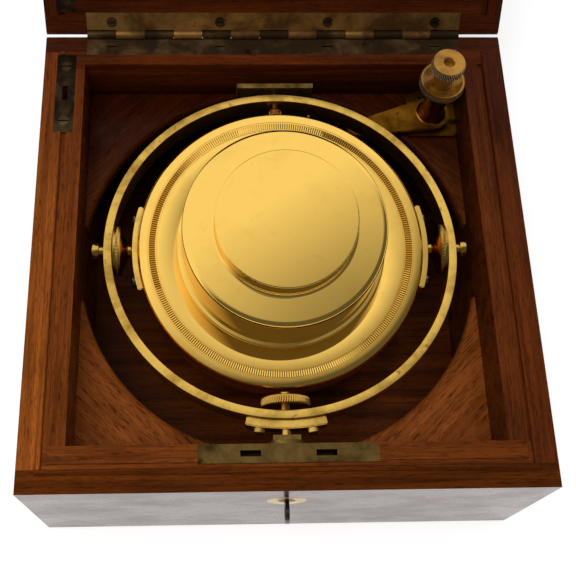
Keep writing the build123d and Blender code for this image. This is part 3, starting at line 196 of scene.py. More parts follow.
def make_mahogany_figure():
    """The wood's colour, roughness and height. The colour carries painted shade: it darkens to the
    back, deep in the box, and by the share of Painted shade right to the right. This shade goes by
    place, so it darkens the outer boards at the back and right as well."""
    tree, given = new_group("mahogany figure", [
        ("Place", "NodeSocketVector", None), ("Deep", "NodeSocketColor", (0.05, 0.012, 0.004, 1)),
        ("Pale", "NodeSocketColor", (0.2, 0.07, 0.02, 1)), ("Pores", "NodeSocketFloat", 0.6),
        ("Dirt", "NodeSocketFloat", 0.4), ("Painted shade right", "NodeSocketFloat", 0.0)],
        [("Colour", "NodeSocketColor"), ("Roughness", "NodeSocketFloat"),
         ("Height", "NodeSocketFloat")])
    place = given["Place"]
    ribbon = stretched_noise(tree, place, (8.0, 210.0, 210.0), 5.0, 0.6, 0.3)
    streak = stretched_noise(tree, place, (32.0, 1300.0, 1300.0), 4.0, 0.62, 0.3)
    pore = stretched_noise(tree, place, (260.0, 2600.0, 2600.0), 2.0, 0.5)
    smudge = stretched_noise(tree, place, (38.0, 60.0, 60.0), 5.0, 0.65)
    figure = sums(tree, sums(tree, ribbon, 0.62, "MULTIPLY"), sums(tree, streak, 0.38, "MULTIPLY"))
    wood = blended(tree, ramped(tree, figure, 0.28, 0.74), given["Deep"], given["Pale"])
    dark = sums(tree, ramped(tree, pore, 0.52, 0.68), given["Pores"], "MULTIPLY")
    wood = blended(tree, dark, wood, (0.22, 0.13, 0.10, 1.0), "MULTIPLY")
    where = node(tree, "ShaderNodeSeparateXYZ", {
        0: node(tree, "ShaderNodeTexCoord").outputs["Object"]}).outputs
    # Painted shade: darker towards the right, by the share of Painted shade right.
    right = sums(tree, ramped(tree, where[0], -0.02, 0.08), given["Painted shade right"], "MULTIPLY")
    wood = blended(tree, right, wood, (0.36, 0.27, 0.28, 1.0), "MULTIPLY")
    # Painted shade: darker towards the back.
    wood = blended(tree, ramped(tree, where[1], 0.0, 0.09, 0.0, 0.85), wood,
                   (0.50, 0.36, 0.30, 1.0), "MULTIPLY")
    # Painted shade: darker low in the box, and more so towards the back.
    painted_well_shade = sums(tree, ramped(tree, where[2], 0.050, 0.073, 1.0, 0.0),
                ramped(tree, where[1], -0.02, 0.065, 0.0, 1.0), "MULTIPLY")
    wood = blended(tree, painted_well_shade, wood, (0.16, 0.12, 0.11, 1.0), "MULTIPLY")
    darkened = sums(tree, ramped(tree, smudge, 0.50, 0.72), given["Dirt"], "MULTIPLY")
    wood = blended(tree, darkened, wood, (0.34, 0.27, 0.22, 1.0), "MULTIPLY")
    rough = ramped(tree, smudge, 0.35, 0.75, 0.24, 0.46)
    height = sums(tree, sums(tree, streak, 0.4, "MULTIPLY"), dark, "SUBTRACT")
    node(tree, "NodeGroupOutput", {"Colour": wood, "Roughness": rough, "Height": height})
    return tree


mahogany_figure = make_mahogany_figure()
lid_turn = math.radians(125.0)
lid_hinge = Vector((0.0, 94.9 * mm, 76.15 * mm))
well_half = 78.3 * mm
corner_grain = math.radians(45.0)


def closed_place(tree, place):
    """Where a point of the open lid lies when the lid is shut, so that its grain follows it."""
    back = Matrix.Rotation(lid_turn, 3, "X")
    return node(tree, "ShaderNodeMapping", {
        "Vector": place, "Rotation": (lid_turn, 0.0, 0.0),
        "Location": lid_hinge - back @ lid_hinge}).outputs[0]


def board_place(tree, direction, in_lid):
    """The board's own place, its grain along X: direction is along, across, frame or corner."""
    place = node(tree, "ShaderNodeTexCoord").outputs["Object"]
    if in_lid:
        place = closed_place(tree, place)
    if direction == "along":
        return place
    parts = node(tree, "ShaderNodeSeparateXYZ", {0: place}).outputs
    turned = node(tree, "ShaderNodeCombineXYZ", {0: parts[1], 1: parts[0], 2: parts[2]}).outputs[0]
    if direction == "across":
        return turned
    if direction == "frame":
        beyond = sums(tree, sums(tree, parts[0], 0.0, "ABSOLUTE"), well_half, "GREATER_THAN")
        between = sums(tree, sums(tree, parts[1], 0.0, "ABSOLUTE"), well_half, "LESS_THAN")
        side_piece = sums(tree, beyond, between, "MULTIPLY")
        return node(tree, "ShaderNodeMix", {0: side_piece, 4: place, 5: turned},
                    data_type="VECTOR").outputs[1]
    apart_x = sums(tree, parts[0], 0.0, "ABSOLUTE")
    apart_y = sums(tree, parts[1], 0.0, "ABSOLUTE")
    which = sums(tree, sums(tree, parts[0], 0.0, "SIGN"),
                 sums(tree, sums(tree, parts[1], 0.0, "SIGN"), 0.37, "MULTIPLY"))
    level = sums(tree, parts[2], which)
    folded = node(tree, "ShaderNodeCombineXYZ", {0: apart_x, 1: apart_y, 2: level}).outputs[0]
    return node(tree, "ShaderNodeMapping", {
        "Vector": folded, "Rotation": (0.0, 0.0, corner_grain)}).outputs[0]


def polished_mahogany(name, direction, deep, pale, pores=0.6, dirt=0.4, in_lid=False, sheen=None,
                      painted_shade_right=0.0):
    """A board's finish between two colours of wood. sheen adds to the polish."""
    material, tree = blank_material(name)
    figure = node(tree, "ShaderNodeGroup", {
        "Place": board_place(tree, direction, in_lid), "Deep": (*deep, 1.0),
        "Pale": (*pale, 1.0), "Pores": pores, "Dirt": dirt, "Painted shade right": painted_shade_right},
        node_tree=mahogany_figure)
    bump = node(tree, "ShaderNodeBump", {"Strength": 0.35, "Distance": 0.12 * mm,
                                         "Height": figure.outputs["Height"]})
    coat = node(tree, "ShaderNodeBsdfPrincipled", {
        "Base Color": figure.outputs["Colour"], "Roughness": figure.outputs["Roughness"],
        "Specular IOR Level": 0.06, "Normal": bump.outputs[0]})
    if sheen:
        sheen(tree, coat)
    node(tree, "ShaderNodeOutputMaterial", {"Surface": coat.outputs[0]})
    return material


def finish(node_name, material):
    """Gives a CAD node its material."""
    for slot in cad[node_name].material_slots:
        slot.material = material


def soft_arrises(node_name, width, segments=2):
    """Worn, rounded edges on a board or plate that was cut square."""
    worn = cad[node_name].modifiers.new("worn arrises", "BEVEL")
    worn.width = width
    worn.segments = segments
    worn.limit_method = "ANGLE"
    worn.angle_limit = math.radians(50.0)
    worn.harden_normals = True
    worn.use_clamp_overlap = True


red_deep = (0.034, 0.0065, 0.0008)
red_pale = (0.150, 0.034, 0.0030)
brown_deep = (0.130, 0.031, 0.0045)
brown_pale = (0.34, 0.090, 0.014)


def front_gloss(tree, coat):
    """A thicker, glossier polish on the outer front, which mirrors the table."""
    facing = node(tree, "ShaderNodeNewGeometry").outputs["True Normal"]
    parts = node(tree, "ShaderNodeSeparateXYZ", {0: facing}).outputs
    outer = sums(tree, sums(tree, parts[1], -0.9, "LESS_THAN"), 0.56, "MULTIPLY")
    tree.links.new(outer, coat.inputs["Coat Weight"])
    coat.inputs["Specular Tint"].default_value = (1.0, 0.72, 0.52, 1.0)
    coat.inputs["Coat Roughness"].default_value = 0.12
    coat.inputs["Coat IOR"].default_value = 1.45


finish("base_front_board", polished_mahogany(
    "mahogany, front", "along", red_deep, red_pale, sheen=front_gloss))
finish("base_back_board", polished_mahogany("mahogany, back", "along", red_deep, red_pale))
# Painted shade darkens the right side board.
finish("base_side_boards", polished_mahogany(
    "mahogany, sides", "across", (0.115, 0.026, 0.003), (0.42, 0.112, 0.013), painted_shade_right=0.95))
finish("base_floor", polished_mahogany("mahogany, floor", "along", red_deep, red_pale))
for board in ("base_front_board", "base_back_board", "base_side_boards"):
    soft_arrises(board, 0.5 * mm)


# Lining of the base: four thin boards inside the rim, with a groove beside the bead. Their colour
# carries painted shade towards the right, the back and deep in the box.
finish("base_lining", polished_mahogany(
    "mahogany, lining", "frame", (0.060, 0.0125, 0.0015), (0.275, 0.066, 0.0075), painted_shade_right=0.5))
soft_arrises("base_lining", 0.4 * mm)


# Corner boards and their posts: plainer, browner wood with the grain run across each corner,
# screwed down on square posts.
finish("corner_boards", polished_mahogany(
    "mahogany, corners", "corner", brown_deep, brown_pale, pores=0.8, dirt=0.5))
finish("corner_posts", polished_mahogany("mahogany, posts", "along", brown_deep, brown_pale))


# Lid: the same mahogany, four boards round a panel and a lining inside them, hung open behind
# the base on the long hinge.
for board, direction in (("lid_front_board", "along"), ("lid_back_board", "along"),
                         ("lid_side_boards", "across"), ("lid_panel", "along"),
                         ("lid_lining", "frame")):
    finish(board, polished_mahogany(
        "mahogany, " + board.replace("_", " "), direction, red_deep, red_pale, in_lid=True))
    soft_arrises(board, 0.5 * mm)


# Hinge, rim plates and lock: cast and rolled brass that was never lacquered, gone dull and dark
# in the flat, with brighter rubbed edges and a few black spots.
def make_brass_skin():
    """The colour, roughness and height of brass that is clean in some places, dull in others."""
    tree, given = new_group("brass skin", [
        ("Place", "NodeSocketVector", None), ("Clean", "NodeSocketColor", (0.8, 0.55, 0.15, 1)),
        ("Dull", "NodeSocketColor", (0.2, 0.12, 0.04, 1)), ("Dullness", "NodeSocketFloat", 0.5),
        ("Spots", "NodeSocketFloat", 0.3), ("Smoothness", "NodeSocketFloat", 0.7)],
        [("Colour", "NodeSocketColor"), ("Roughness", "NodeSocketFloat"),
         ("Height", "NodeSocketFloat")])
    place = given["Place"]
    cloud = stretched_noise(tree, place, (70.0, 70.0, 70.0), 6.0, 0.6, 0.3)
    grit = stretched_noise(tree, place, (900.0, 900.0, 900.0), 3.0, 0.6)
    spot = stretched_noise(tree, place, (230.0, 230.0, 230.0), 2.0, 0.5)
    shift = sums(tree, given["Dullness"], 0.5, "SUBTRACT")
    dull = ramped(tree, sums(tree, cloud, sums(tree, shift, 0.6, "MULTIPLY")), 0.34, 0.66)
    skin = blended(tree, dull, given["Clean"], given["Dull"])
    black = sums(tree, ramped(tree, spot, 0.66, 0.74), given["Spots"], "MULTIPLY")
    skin = blended(tree, black, skin, (0.12, 0.09, 0.06, 1.0), "MULTIPLY")
    fine = sums(tree, ramped(tree, grit, 0.45, 0.75), sums(tree, given["Spots"], 0.6, "MULTIPLY"),
                "MULTIPLY")
    skin = blended(tree, fine, skin, (0.55, 0.48, 0.38, 1.0), "MULTIPLY")
    even = sums(tree, 0.95, given["Smoothness"], "SUBTRACT")
    worse = sums(tree, sums(tree, sums(tree, dull, black), 0.5, "MULTIPLY"), 1.0)
    rough = sums(tree, even, worse, "MULTIPLY")
    height = sums(tree, sums(tree, grit, 0.5, "MULTIPLY"), black, "SUBTRACT")
    node(tree, "NodeGroupOutput", {"Colour": skin, "Roughness": rough, "Height": height})
    return tree


brass_skin = make_brass_skin()


def brass(name, clean, dull, dullness, spots, smoothness, grain=None, relief=0.2, metal=1.0):
    """A brass finish. grain adds the marks of how the piece was worked to the bump."""
    material, tree = blank_material(name)
    place = node(tree, "ShaderNodeTexCoord").outputs["Object"]
    skin = node(tree, "ShaderNodeGroup", {
        "Place": place, "Clean": (*clean, 1.0), "Dull": (*dull, 1.0), "Dullness": dullness,
        "Spots": spots, "Smoothness": smoothness}, node_tree=brass_skin)
    height = skin.outputs["Height"]
    if grain:
        height = sums(tree, height, grain(tree, place))
    bump = node(tree, "ShaderNodeBump", {"Strength": relief, "Distance": 0.05 * mm,
                                         "Height": height})
    metal_coat = node(tree, "ShaderNodeBsdfPrincipled", {
        "Base Color": skin.outputs["Colour"], "Roughness": skin.outputs["Roughness"],
        "Metallic": metal, "Normal": bump.outputs[0]})
    node(tree, "ShaderNodeOutputMaterial", {"Surface": metal_coat.outputs[0]})
    return material


def scratched(tree, place, scale):
    """Fine scratches, as left by filing and polishing a strip."""
    return sums(tree, stretched_noise(tree, place, scale, 3.0, 0.6), 1.6, "MULTIPLY")


def rolled_along_x(tree, place):
    return scratched(tree, place, (60.0, 3000.0, 3000.0))


def rolled_along_y(tree, place):
    return scratched(tree, place, (3000.0, 60.0, 3000.0))


old_strip = brass("old brass strip", (0.21, 0.125, 0.050), (0.075, 0.043, 0.020), 0.70, 0.5, 0.45,
                  rolled_along_x)
lid_strip = brass("lid brass strip", (0.54, 0.30, 0.09), (0.19, 0.092, 0.030), 0.50, 0.5, 0.45,
                  rolled_along_x)
lock_strip = brass("lock brass strip", (0.20, 0.12, 0.034), (0.07, 0.037, 0.011), 0.45, 0.4, 0.5,
                   rolled_along_x)
slot_strip = brass("slot brass strip", (0.10, 0.066, 0.030), (0.03, 0.018, 0.009), 0.6, 0.4, 0.4,
                   rolled_along_y)
old_screw = brass("old brass screw", (0.16, 0.10, 0.04), (0.05, 0.03, 0.013), 0.55, 0.4, 0.45)
for fitting, metal in (("hinge_base_leaf", old_strip), ("hinge_lid_leaf", lid_strip),
                       ("hinge_pin", lid_strip), ("slot_plate", slot_strip),
                       ("tongue_plate", slot_strip), ("lock_case", lock_strip),
                       ("link_plate", lock_strip), ("lock_bolt", lock_strip),
                       ("base_screws", old_screw), ("lid_screws", old_screw)):
    finish(fitting, metal)
for plate in ("hinge_base_leaf", "hinge_lid_leaf", "slot_plate", "lock_case", "link_plate",
              "tongue_plate"):
    soft_arrises(plate, 0.12 * mm, 1)


# Escutcheon and key: a brass disc let into the front board round the lock's nose, and a plain
# steel key that stays in it.
finish("escutcheon", brass("escutcheon brass", (0.62, 0.47, 0.22), (0.30, 0.20, 0.08), 0.4, 0.3,
                           0.6))
key_steel = brass("key steel", (0.16, 0.14, 0.12), (0.06, 0.045, 0.035), 0.4, 0.3, 0.65)
finish("box_key", key_steel)
soft_arrises("box_key", 0.2 * mm)


# Gimbal brackets: the front one carries the ring's journal in its boss, the back one is a bent
# strip that stands off from the lining. Both are dull, unpolished brass.
bracket_brass = brass("bracket brass", (0.42, 0.27, 0.07), (0.13, 0.075, 0.02), 0.5, 0.5, 0.5,
                      rolled_along_x)
for bracket in ("front_bracket", "back_bracket"):
    finish(bracket, bracket_brass)
    soft_arrises(bracket, 0.3 * mm)


# Gimbal lock: a fixed pillar on a screwed foot, an arm with a long sleeve round it, a knurled
# clamp nut dished on top, and a small knurled knob with a blind hole. Patinated brass.
def eased(corners, steps=4):
    """Rounds the corners of a turned outline. Each corner is (radius, height, rounding)."""
    points = []
    count = len(corners)
    for i, (radius, height, rounding) in enumerate(corners):
        here = Vector((radius, height))
        if rounding == 0.0:
            points.append(here)
            continue
        before = Vector(corners[i - 1][:2]) - here
        after = Vector(corners[(i + 1) % count][:2]) - here
        half = before.angle(after) / 2
        reach = min(rounding / math.tan(half), 0.49 * before.length, 0.49 * after.length)
        start = here + before.normalized() * reach
        end = here + after.normalized() * reach
        for step in range(steps + 1):
            t = step / steps
            points.append(start * (1 - t)**2 + here * 2 * t * (1 - t) + end * t**2)
    return points


def straight_knurl(count, depth):
    """Straight ridges: the cut deepens between them."""
    def cut(turn, height):
        return depth * abs(2 * ((count * turn) % 1.0) - 1)
    return cut


def crossed_knurl(count, depth, lean, both_ways=True):
    """Ridges that lean as they rise, one way or both ways, which leaves diamonds."""
    def cut(turn, height):
        one = abs(2 * ((count * turn + height / lean) % 1.0) - 1)
        other = abs(2 * ((count * turn - height / lean) % 1.0) - 1)
        return depth * (max(one, other) if both_ways else one)
    return cut


def turned(name, outline, place, segments=160, knurl=None, band=None, sharp=32.0):
    """A piece turned on the lathe about Z from a closed outline of (radius, height) points in
    millimetres. knurl(turn, height) is cut into the points whose height lies in band."""
    shape = bmesh.new()
    rings = []
    for radius, height in outline:
        if radius < 1e-6:
            rings.append([shape.verts.new((0.0, 0.0, height * mm))])
            continue
        ring = []
        for i in range(segments):
            turn = i / segments
            cut = 0.0
            if knurl and band[0] <= height <= band[1] and radius >= band[2]:
                cut = knurl(turn, height)
            reach = (radius - cut) * mm
            ring.append(shape.verts.new((reach * math.cos(2 * math.pi * turn),
                                         reach * math.sin(2 * math.pi * turn), height * mm)))
        rings.append(ring)
    for i, lower in enumerate(rings):
        upper = rings[(i + 1) % len(rings)]
        if len(lower) == 1 and len(upper) == 1:
            continue
        for j in range(segments):
            k = (j + 1) % segments
            if len(lower) == 1:
                shape.faces.new((lower[0], upper[k], upper[j]))
            elif len(upper) == 1:
                shape.faces.new((lower[j], lower[k], upper[0]))
            else:
                shape.faces.new((lower[j], lower[k], upper[k], upper[j]))
    bmesh.ops.recalc_face_normals(shape, faces=shape.faces)
    return piece_from(name, shape, place, sharp)


def piece_from(name, shape, place, sharp=32.0):
    """Puts a shape in the scene, smooth but for the edges that turn by more than sharp degrees."""
    mesh = bpy.data.meshes.new(name)
    shape.to_mesh(mesh)
    shape.free()
    mesh.shade_smooth()
    mesh.set_sharp_from_angle(angle=math.radians(sharp))
    made = bpy.data.objects.new(name, mesh)
    made.matrix_world = place
    bpy.context.scene.collection.objects.link(made)
    return made


def fit(piece, body, slot_name, material, *replaced):
    """Gives a new piece its finish, the body it rides on and the CAD nodes it stands for."""
    piece.data.materials.append(material)
    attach(piece, body)
    if replaced:
        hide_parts(*replaced)


def banded(low, high, rows):
    """Heights of the rows of points that a knurled band needs."""
    return [low + (high - low) * i / rows for i in range(rows + 1)]


def from_axis(tree, place):
    """How far a place is from the piece's own axis, and how high it stands on it."""
    parts = node(tree, "ShaderNodeSeparateXYZ", {0: place}).outputs
    flat = node(tree, "ShaderNodeCombineXYZ", {0: parts[0], 1: parts[1]}).outputs[0]
    reach = node(tree, "ShaderNodeVectorMath", {0: flat}, operation="LENGTH").outputs["Value"]
    return reach, parts[2]


def lathe_marks(tree, place):
    """Fine rings left by the tool."""
    reach, level = from_axis(tree, place)
    line = node(tree, "ShaderNodeCombineXYZ", {0: reach, 1: level}).outputs[0]
    return sums(tree, stretched_noise(tree, line, (2600.0, 2600.0, 1.0), 3.0, 0.6), 1.4,
                "MULTIPLY")


patina = brass("patinated brass", (0.30, 0.125, 0.009), (0.12, 0.042, 0.003), 0.5, 0.45, 0.55)
patina_turned = brass("patinated turned brass", (0.40, 0.17, 0.018), (0.16, 0.06, 0.005), 0.45,
                      0.35, 0.72, lathe_marks)


def knurled_brass(name, valley, crest):
    """Patinated brass with a knurled band: darker between the ridges, with a painted highlight on
    the crests that stands in for their glints.
    """
    material = brass(name, (0.46, 0.215, 0.028), (0.16, 0.066, 0.007), 0.42, 0.3, 0.74, metal=0.6)
    tree = material.node_tree
    skin = next(n for n in tree.nodes if n.bl_idname == "ShaderNodeBsdfPrincipled")
    reach, _ = from_axis(tree, node(tree, "ShaderNodeTexCoord").outputs["Object"])
    ridged = ramped(tree, reach, (valley - 0.02) * mm, valley * mm)
    plain = skin.inputs["Base Color"].links[0].from_socket
    # Darker between the ridges.
    darkened = blended(tree, ridged, plain, (0.45, 0.40, 0.35, 1.0), "MULTIPLY")
    halfway = (valley + 0.5 * (crest - valley)) * mm
    # Painted highlight: the crests are painted pale, as if they glinted.
    painted_crest_highlight = blended(tree, ramped(tree, reach, halfway, crest * mm), darkened,
                     (1.0, 0.92, 0.70, 1.0))
    tree.links.new(painted_crest_highlight, skin.inputs["Base Color"])
    return material


pillar_place = Matrix.Translation((67.3 * mm, 67.5 * mm, 0.0))
finish("lock_pillar", patina)
soft_arrises("lock_pillar", 0.2 * mm)

arm_low, arm_high, arm_edge = 56.1, 59.1, 0.35
arm_reach, arm_tip_half, arm_hub, arm_heading = 37.4, 3.05, 7.9, 193.2
sleeve_top, sleeve_foot, sleeve_neck, flare_height, pillar_bore = 80.0, 6.3, 4.6, 6.0, 3.05
arm_shape = bmesh.new()
outline = [(arm_reach, arm_tip_half)]
for i in range(41):
    angle = math.pi / 2 + i * math.pi / 40
    outline.append((arm_hub * math.cos(angle), arm_hub * math.sin(angle)))
outline.append((arm_reach, -arm_tip_half))
arm_face = arm_shape.faces.new([
    arm_shape.verts.new((x * mm, y * mm, arm_low * mm)) for x, y in outline])
grown = bmesh.ops.extrude_face_region(arm_shape, geom=[arm_face])
bmesh.ops.translate(arm_shape, vec=(0.0, 0.0, (arm_high - arm_low) * mm),
                    verts=[v for v in grown["geom"] if isinstance(v, bmesh.types.BMVert)])
bmesh.ops.recalc_face_normals(arm_shape, faces=arm_shape.faces)
rim_edges = [edge for edge in arm_shape.edges
             if len(edge.link_faces) == 2 and edge.calc_face_angle() > math.radians(40)]
bmesh.ops.bevel(arm_shape, geom=rim_edges, offset=arm_edge * mm, segments=2, affect="EDGES")
arm_place = pillar_place @ Matrix.Rotation(math.radians(arm_heading), 4, "Z")
arm_plate = piece_from("lock_arm_plate", arm_shape, arm_place)
fit(arm_plate, "arm", "aged_brass", patina, "lock_arm")
flare_turns = [math.pi / 2 * i / 8 for i in range(1, 9)]
flare = [(sleeve_foot - (sleeve_foot - sleeve_neck) * math.sin(turn),
          arm_high + flare_height * (1 - math.cos(turn)), 0.0) for turn in flare_turns]
arm_sleeve = turned("lock_arm_sleeve", eased(
    [(pillar_bore, arm_high - 0.5, 0.0), (sleeve_foot, arm_high - 0.5, 0.0),
     (sleeve_foot, arm_high, 0.0)] + flare
    + [(sleeve_neck, sleeve_top, 0.3), (pillar_bore, sleeve_top, 0.0)]), pillar_place, 96)
fit(arm_sleeve, "arm", "aged_brass", patina_turned)

nut_low, nut_high, nut_radius = 80.1, 83.7, 9.3
nut_rows = banded(nut_low + 0.4, nut_high - 0.4, 14)
clamp_nut = turned("clamp_nut_turned", eased(
    [(pillar_bore, nut_low, 0.0), (nut_radius - 0.4, nut_low, 0.0)]
    + [(nut_radius, height, 0.0) for height in nut_rows]
    + [(nut_radius - 0.4, nut_high, 0.0), (nut_radius - 1.2, nut_high, 0.15),
       (5.4, nut_high - 1.6, 0.0), (pillar_bore, nut_high - 1.6, 0.0)]),
    pillar_place, 360, crossed_knurl(60, 0.6, 1.5), (nut_low + 0.3, nut_high - 0.3, 9.2), 60.0)
fit(clamp_nut, "clamp", "aged_brass", knurled_brass("clamp nut brass", 8.72, 9.28), "clamp_nut")

knob_low, head_low, head_high, knob_radius = 82.2, 92.0, 96.1, 6.7
knob_rows = banded(head_low + 0.4, head_high - 0.5, 8)
lock_knob = turned("lock_knob_turned", eased(
    [(0.0, 90.35, 0.0), (pillar_bore, 90.35, 0.0), (pillar_bore, knob_low, 0.0),
     (4.2, knob_low, 0.2), (4.2, head_low - 2.0, 1.2), (knob_radius - 0.4, head_low, 0.0)]
    + [(knob_radius, height, 0.0) for height in knob_rows]
    + [(knob_radius - 0.5, head_high, 0.2), (2.3, head_high, 0.2), (2.0, head_high - 0.3, 0.0),
       (2.0, head_high - 3.0, 0.0), (0.0, head_high - 3.0, 0.0)]),
    pillar_place, 264, crossed_knurl(44, 0.5, 2.2, False),
    (head_low + 0.3, head_high - 0.4, 6.6), 60.0)
fit(lock_knob, "knob", "aged_brass", knurled_brass("lock knob brass", 6.24, 6.68), "lock_knob")


# Gimbal ring: a plain turned brass hoop, satin on its top edge, with a curved pad and two cheese
# headed screws at the front, where its journal passes through.
def curved_bar(name, inner, outer, low, high, half_angle, middle, place, edge=0.35):
    """A bar bent round Z between two radii, half_angle degrees to each side of middle, with
    softened edges."""
    shape = bmesh.new()
    steps = 24
    rows = []
    for i in range(steps + 1):
        angle = math.radians(middle + half_angle * (2 * i / steps - 1))
        across = Vector((math.cos(angle), math.sin(angle), 0.0))
        rows.append([shape.verts.new(across * radius * mm + Vector((0, 0, height * mm)))
                     for radius, height in ((inner, low), (outer, low), (outer, high),
                                            (inner, high))])
    for one, other in zip(rows, rows[1:]):
        for j in range(4):
            shape.faces.new((one[j], one[(j + 1) % 4], other[(j + 1) % 4], other[j]))
    shape.faces.new(rows[0][::-1])
    shape.faces.new(rows[-1])
    bmesh.ops.recalc_face_normals(shape, faces=shape.faces)
    edges = [e for e in shape.edges if e.calc_face_angle() > math.radians(50)]
    bmesh.ops.bevel(shape, geom=edges, offset=edge * mm, segments=2, affect="EDGES")
    return piece_from(name, shape, place)


gimbal_place = Matrix.Translation((0.0, 0.0, 67.2 * mm))
ring_inner, ring_outer, ring_half = 65.2, 68.4, 4.75
satin = brass("satin gimbal brass", (0.80, 0.50, 0.105), (0.40, 0.22, 0.035), 0.38, 0.5, 0.66,
              lathe_marks)
gimbal_ring = turned("gimbal_ring_turned", eased(
    [(ring_inner, -ring_half, 0.3), (ring_outer, -ring_half, 0.3), (ring_outer, ring_half, 0.3),
     (ring_inner, ring_half, 0.3)], 3), gimbal_place, 256)
fit(gimbal_ring, "ring", "gimbal_brass", satin, "gimbal_ring")
ring_pad = curved_bar("ring_pad_bent", ring_outer, ring_outer + 3.2, -3.2, 3.2, 12.1, -90.0,
                      gimbal_place)
fit(ring_pad, "ring", "gimbal_brass", satin, "ring_pad")
finish("ring_pad_screws", brass("pad screw brass", (0.70, 0.46, 0.12), (0.35, 0.2, 0.05), 0.35,
                                0.3, 0.66))
soft_arrises("ring_pad_screws", 0.2 * mm)


# Pivots: two side ones with diamond knurled heads that hold the bowl, and two at the front and
# back with straight knurled heads on which the ring turns. Bright turned brass.
pivot_brass = brass("pivot brass", (0.66, 0.39, 0.085), (0.28, 0.14, 0.025), 0.38, 0.3, 0.78)
side_rows = banded(61.66, 64.26, 6)
side_outline = eased(
    [(0.0, 54.2, 0.0), (1.5, 54.2, 0.0), (1.5, 57.8, 0.0), (2.5, 57.8, 0.2), (2.5, 59.06, 0.0),
     (9.0, 61.46, 0.0)] + [(9.8, height, 0.0) for height in side_rows]
    + [(9.5, 64.36, 0.0), (2.1, 64.36, 0.0), (2.1, 70.3, 0.0), (3.3, 70.3, 0.3),
       (3.3, 73.1, 0.5), (0.0, 73.1, 0.0)])
front_rows = banded(60.6, 63.0, 4)


def end_outline(head, stem, collar):
    """The front or back pivot's outline, from the journal in the ring to its knurled head and
    on to the collar that turns in the bracket."""
    return eased([(0.0, 57.6, 0.0), (1.9, 57.6, 0.2), (1.9, 60.3, 0.0), (head - 0.4, 60.3, 0.0)]
                 + [(head, height, 0.0) for height in front_rows]
                 + [(head - 0.3, 63.3, 0.0), (stem, 63.3, 0.0)] + collar)


for side, angle in (("right", 90.0), ("left", -90.0)):
    pivot = turned("bowl_pivot_" + side, side_outline,
                   gimbal_place @ Matrix.Rotation(math.radians(angle), 4, "Y"), 336,
                   crossed_knurl(56, 0.45, 1.1), (61.6, 64.3, 9.7), 60.0)
    fit(pivot, "ring", "gimbal_brass", pivot_brass, "bowl_pivot_screws")
front_end = [(2.1, 71.6, 0.0), (2.0, 71.6, 0.0), (2.0, 76.3, 0.2), (0.0, 76.3, 0.0)]
back_end = [(1.1, 68.4, 0.0), (1.7, 68.4, 0.0), (1.7, 70.2, 0.0), (1.1, 70.2, 0.0),
            (1.1, 74.3, 0.2), (0.0, 74.3, 0.0)]
for side, angle, head, stem, ending in (("front", 90.0, 9.4, 2.1, front_end),
                                        ("back", -90.0, 2.6, 1.1, back_end)):
    pivot = turned("ring_pivot_" + side, end_outline(head, stem, ending),
                   gimbal_place @ Matrix.Rotation(math.radians(angle), 4, "X"), 320,
                   straight_knurl(64, 0.4), (60.5, 63.1, head - 0.1), 60.0)
    fit(pivot, "ring", "gimbal_brass", pivot_brass, "ring_pivot_screws")


# Bowl: a turned brass drum with a curved pad screwed on at each side for the pivots' tips. It
# hangs mouth down and leans to the front.
bowl_lean = math.radians(8.3)
bowl_place = gimbal_place @ Matrix.Rotation(bowl_lean, 4, "X")
polished = brass("polished bowl brass", (0.97, 0.615, 0.130), (0.88, 0.54, 0.105), 0.25, 0.05, 0.91,
                 relief=0.01)
drum_brass = brass("drum brass", (0.86, 0.55, 0.12), (0.55, 0.32, 0.06), 0.35, 0.2, 0.78,
                   lathe_marks, relief=0.1)
bowl_drum = turned("bowl_drum_turned", eased(
    [(53.3, -13.0, 0.0), (55.3, -13.0, 0.2), (55.3, 2.98, 0.15), (53.3, 2.98, 0.0),
     (53.3, -3.4, 0.0), (50.5, -3.4, 0.0), (50.5, -5.4, 0.0), (53.3, -5.4, 0.0)], 3),
    bowl_place, 256)
fit(bowl_drum, "bowl", "bowl_brass", drum_brass, "bowl_drum")
for side, middle in (("right", 0.0), ("left", 180.0)):
    pad = curved_bar("bowl_pad_" + side, 55.3, 57.3, -4.7, 4.7, 17.0, middle, bowl_place)
    fit(pad, "bowl", "bowl_brass", drum_brass, "bowl_pads")
finish("bowl_screws", key_steel)
soft_arrises("bowl_screws", 0.15 * mm)


# Back plate: a polished brass ring that closes the bowl, with a bevelled edge and a band of fine
# radial cuts between two lines.
cut_count = 360
cut_depth = 0.28
cut_inner, cut_outer = 48.4, 50.9
plate_top = 5.5
plate_outline = eased(
    [(38.6, 3.0, 0.0), (51.5, 3.0, 0.0), (51.5, 1.0, 0.0), (53.25, 1.0, 0.0), (53.25, 3.0, 0.0),
     (55.3, 3.0, 0.1), (55.3, 4.6, 0.2), (54.4, plate_top, 0.2), (51.55, plate_top, 0.0),
     (51.45, plate_top - 0.12, 0.0), (51.3, plate_top - 0.12, 0.0), (51.2, plate_top, 0.0),
     (cut_outer, plate_top, 0.0), (cut_outer - 0.15, plate_top - 0.01, 0.0),
     (cut_inner + 0.15, plate_top - 0.01, 0.0), (cut_inner, plate_top, 0.0),
     (48.1, plate_top, 0.0), (48.0, plate_top - 0.12, 0.0), (47.85, plate_top - 0.12, 0.0),
     (47.75, plate_top, 0.0), (38.6, plate_top, 0.1)], 2)
back_plate = turned("bowl_back_turned", plate_outline, bowl_place, 2 * cut_count)
for vertex in back_plate.data.vertices:
    reach = math.hypot(vertex.co.x, vertex.co.y) / mm
    turn = round(math.atan2(vertex.co.y, vertex.co.x) / math.pi * cut_count)
    on_band = abs(vertex.co.z / mm - plate_top + 0.01) < 0.005 and cut_inner < reach < cut_outer
    if on_band and turn % 2:
        vertex.co.z -= cut_depth * mm
back_plate.data.set_sharp_from_angle(angle=math.radians(20.0))
fit(back_plate, "bowl", "bowl_brass", polished, "bowl_back_plate")


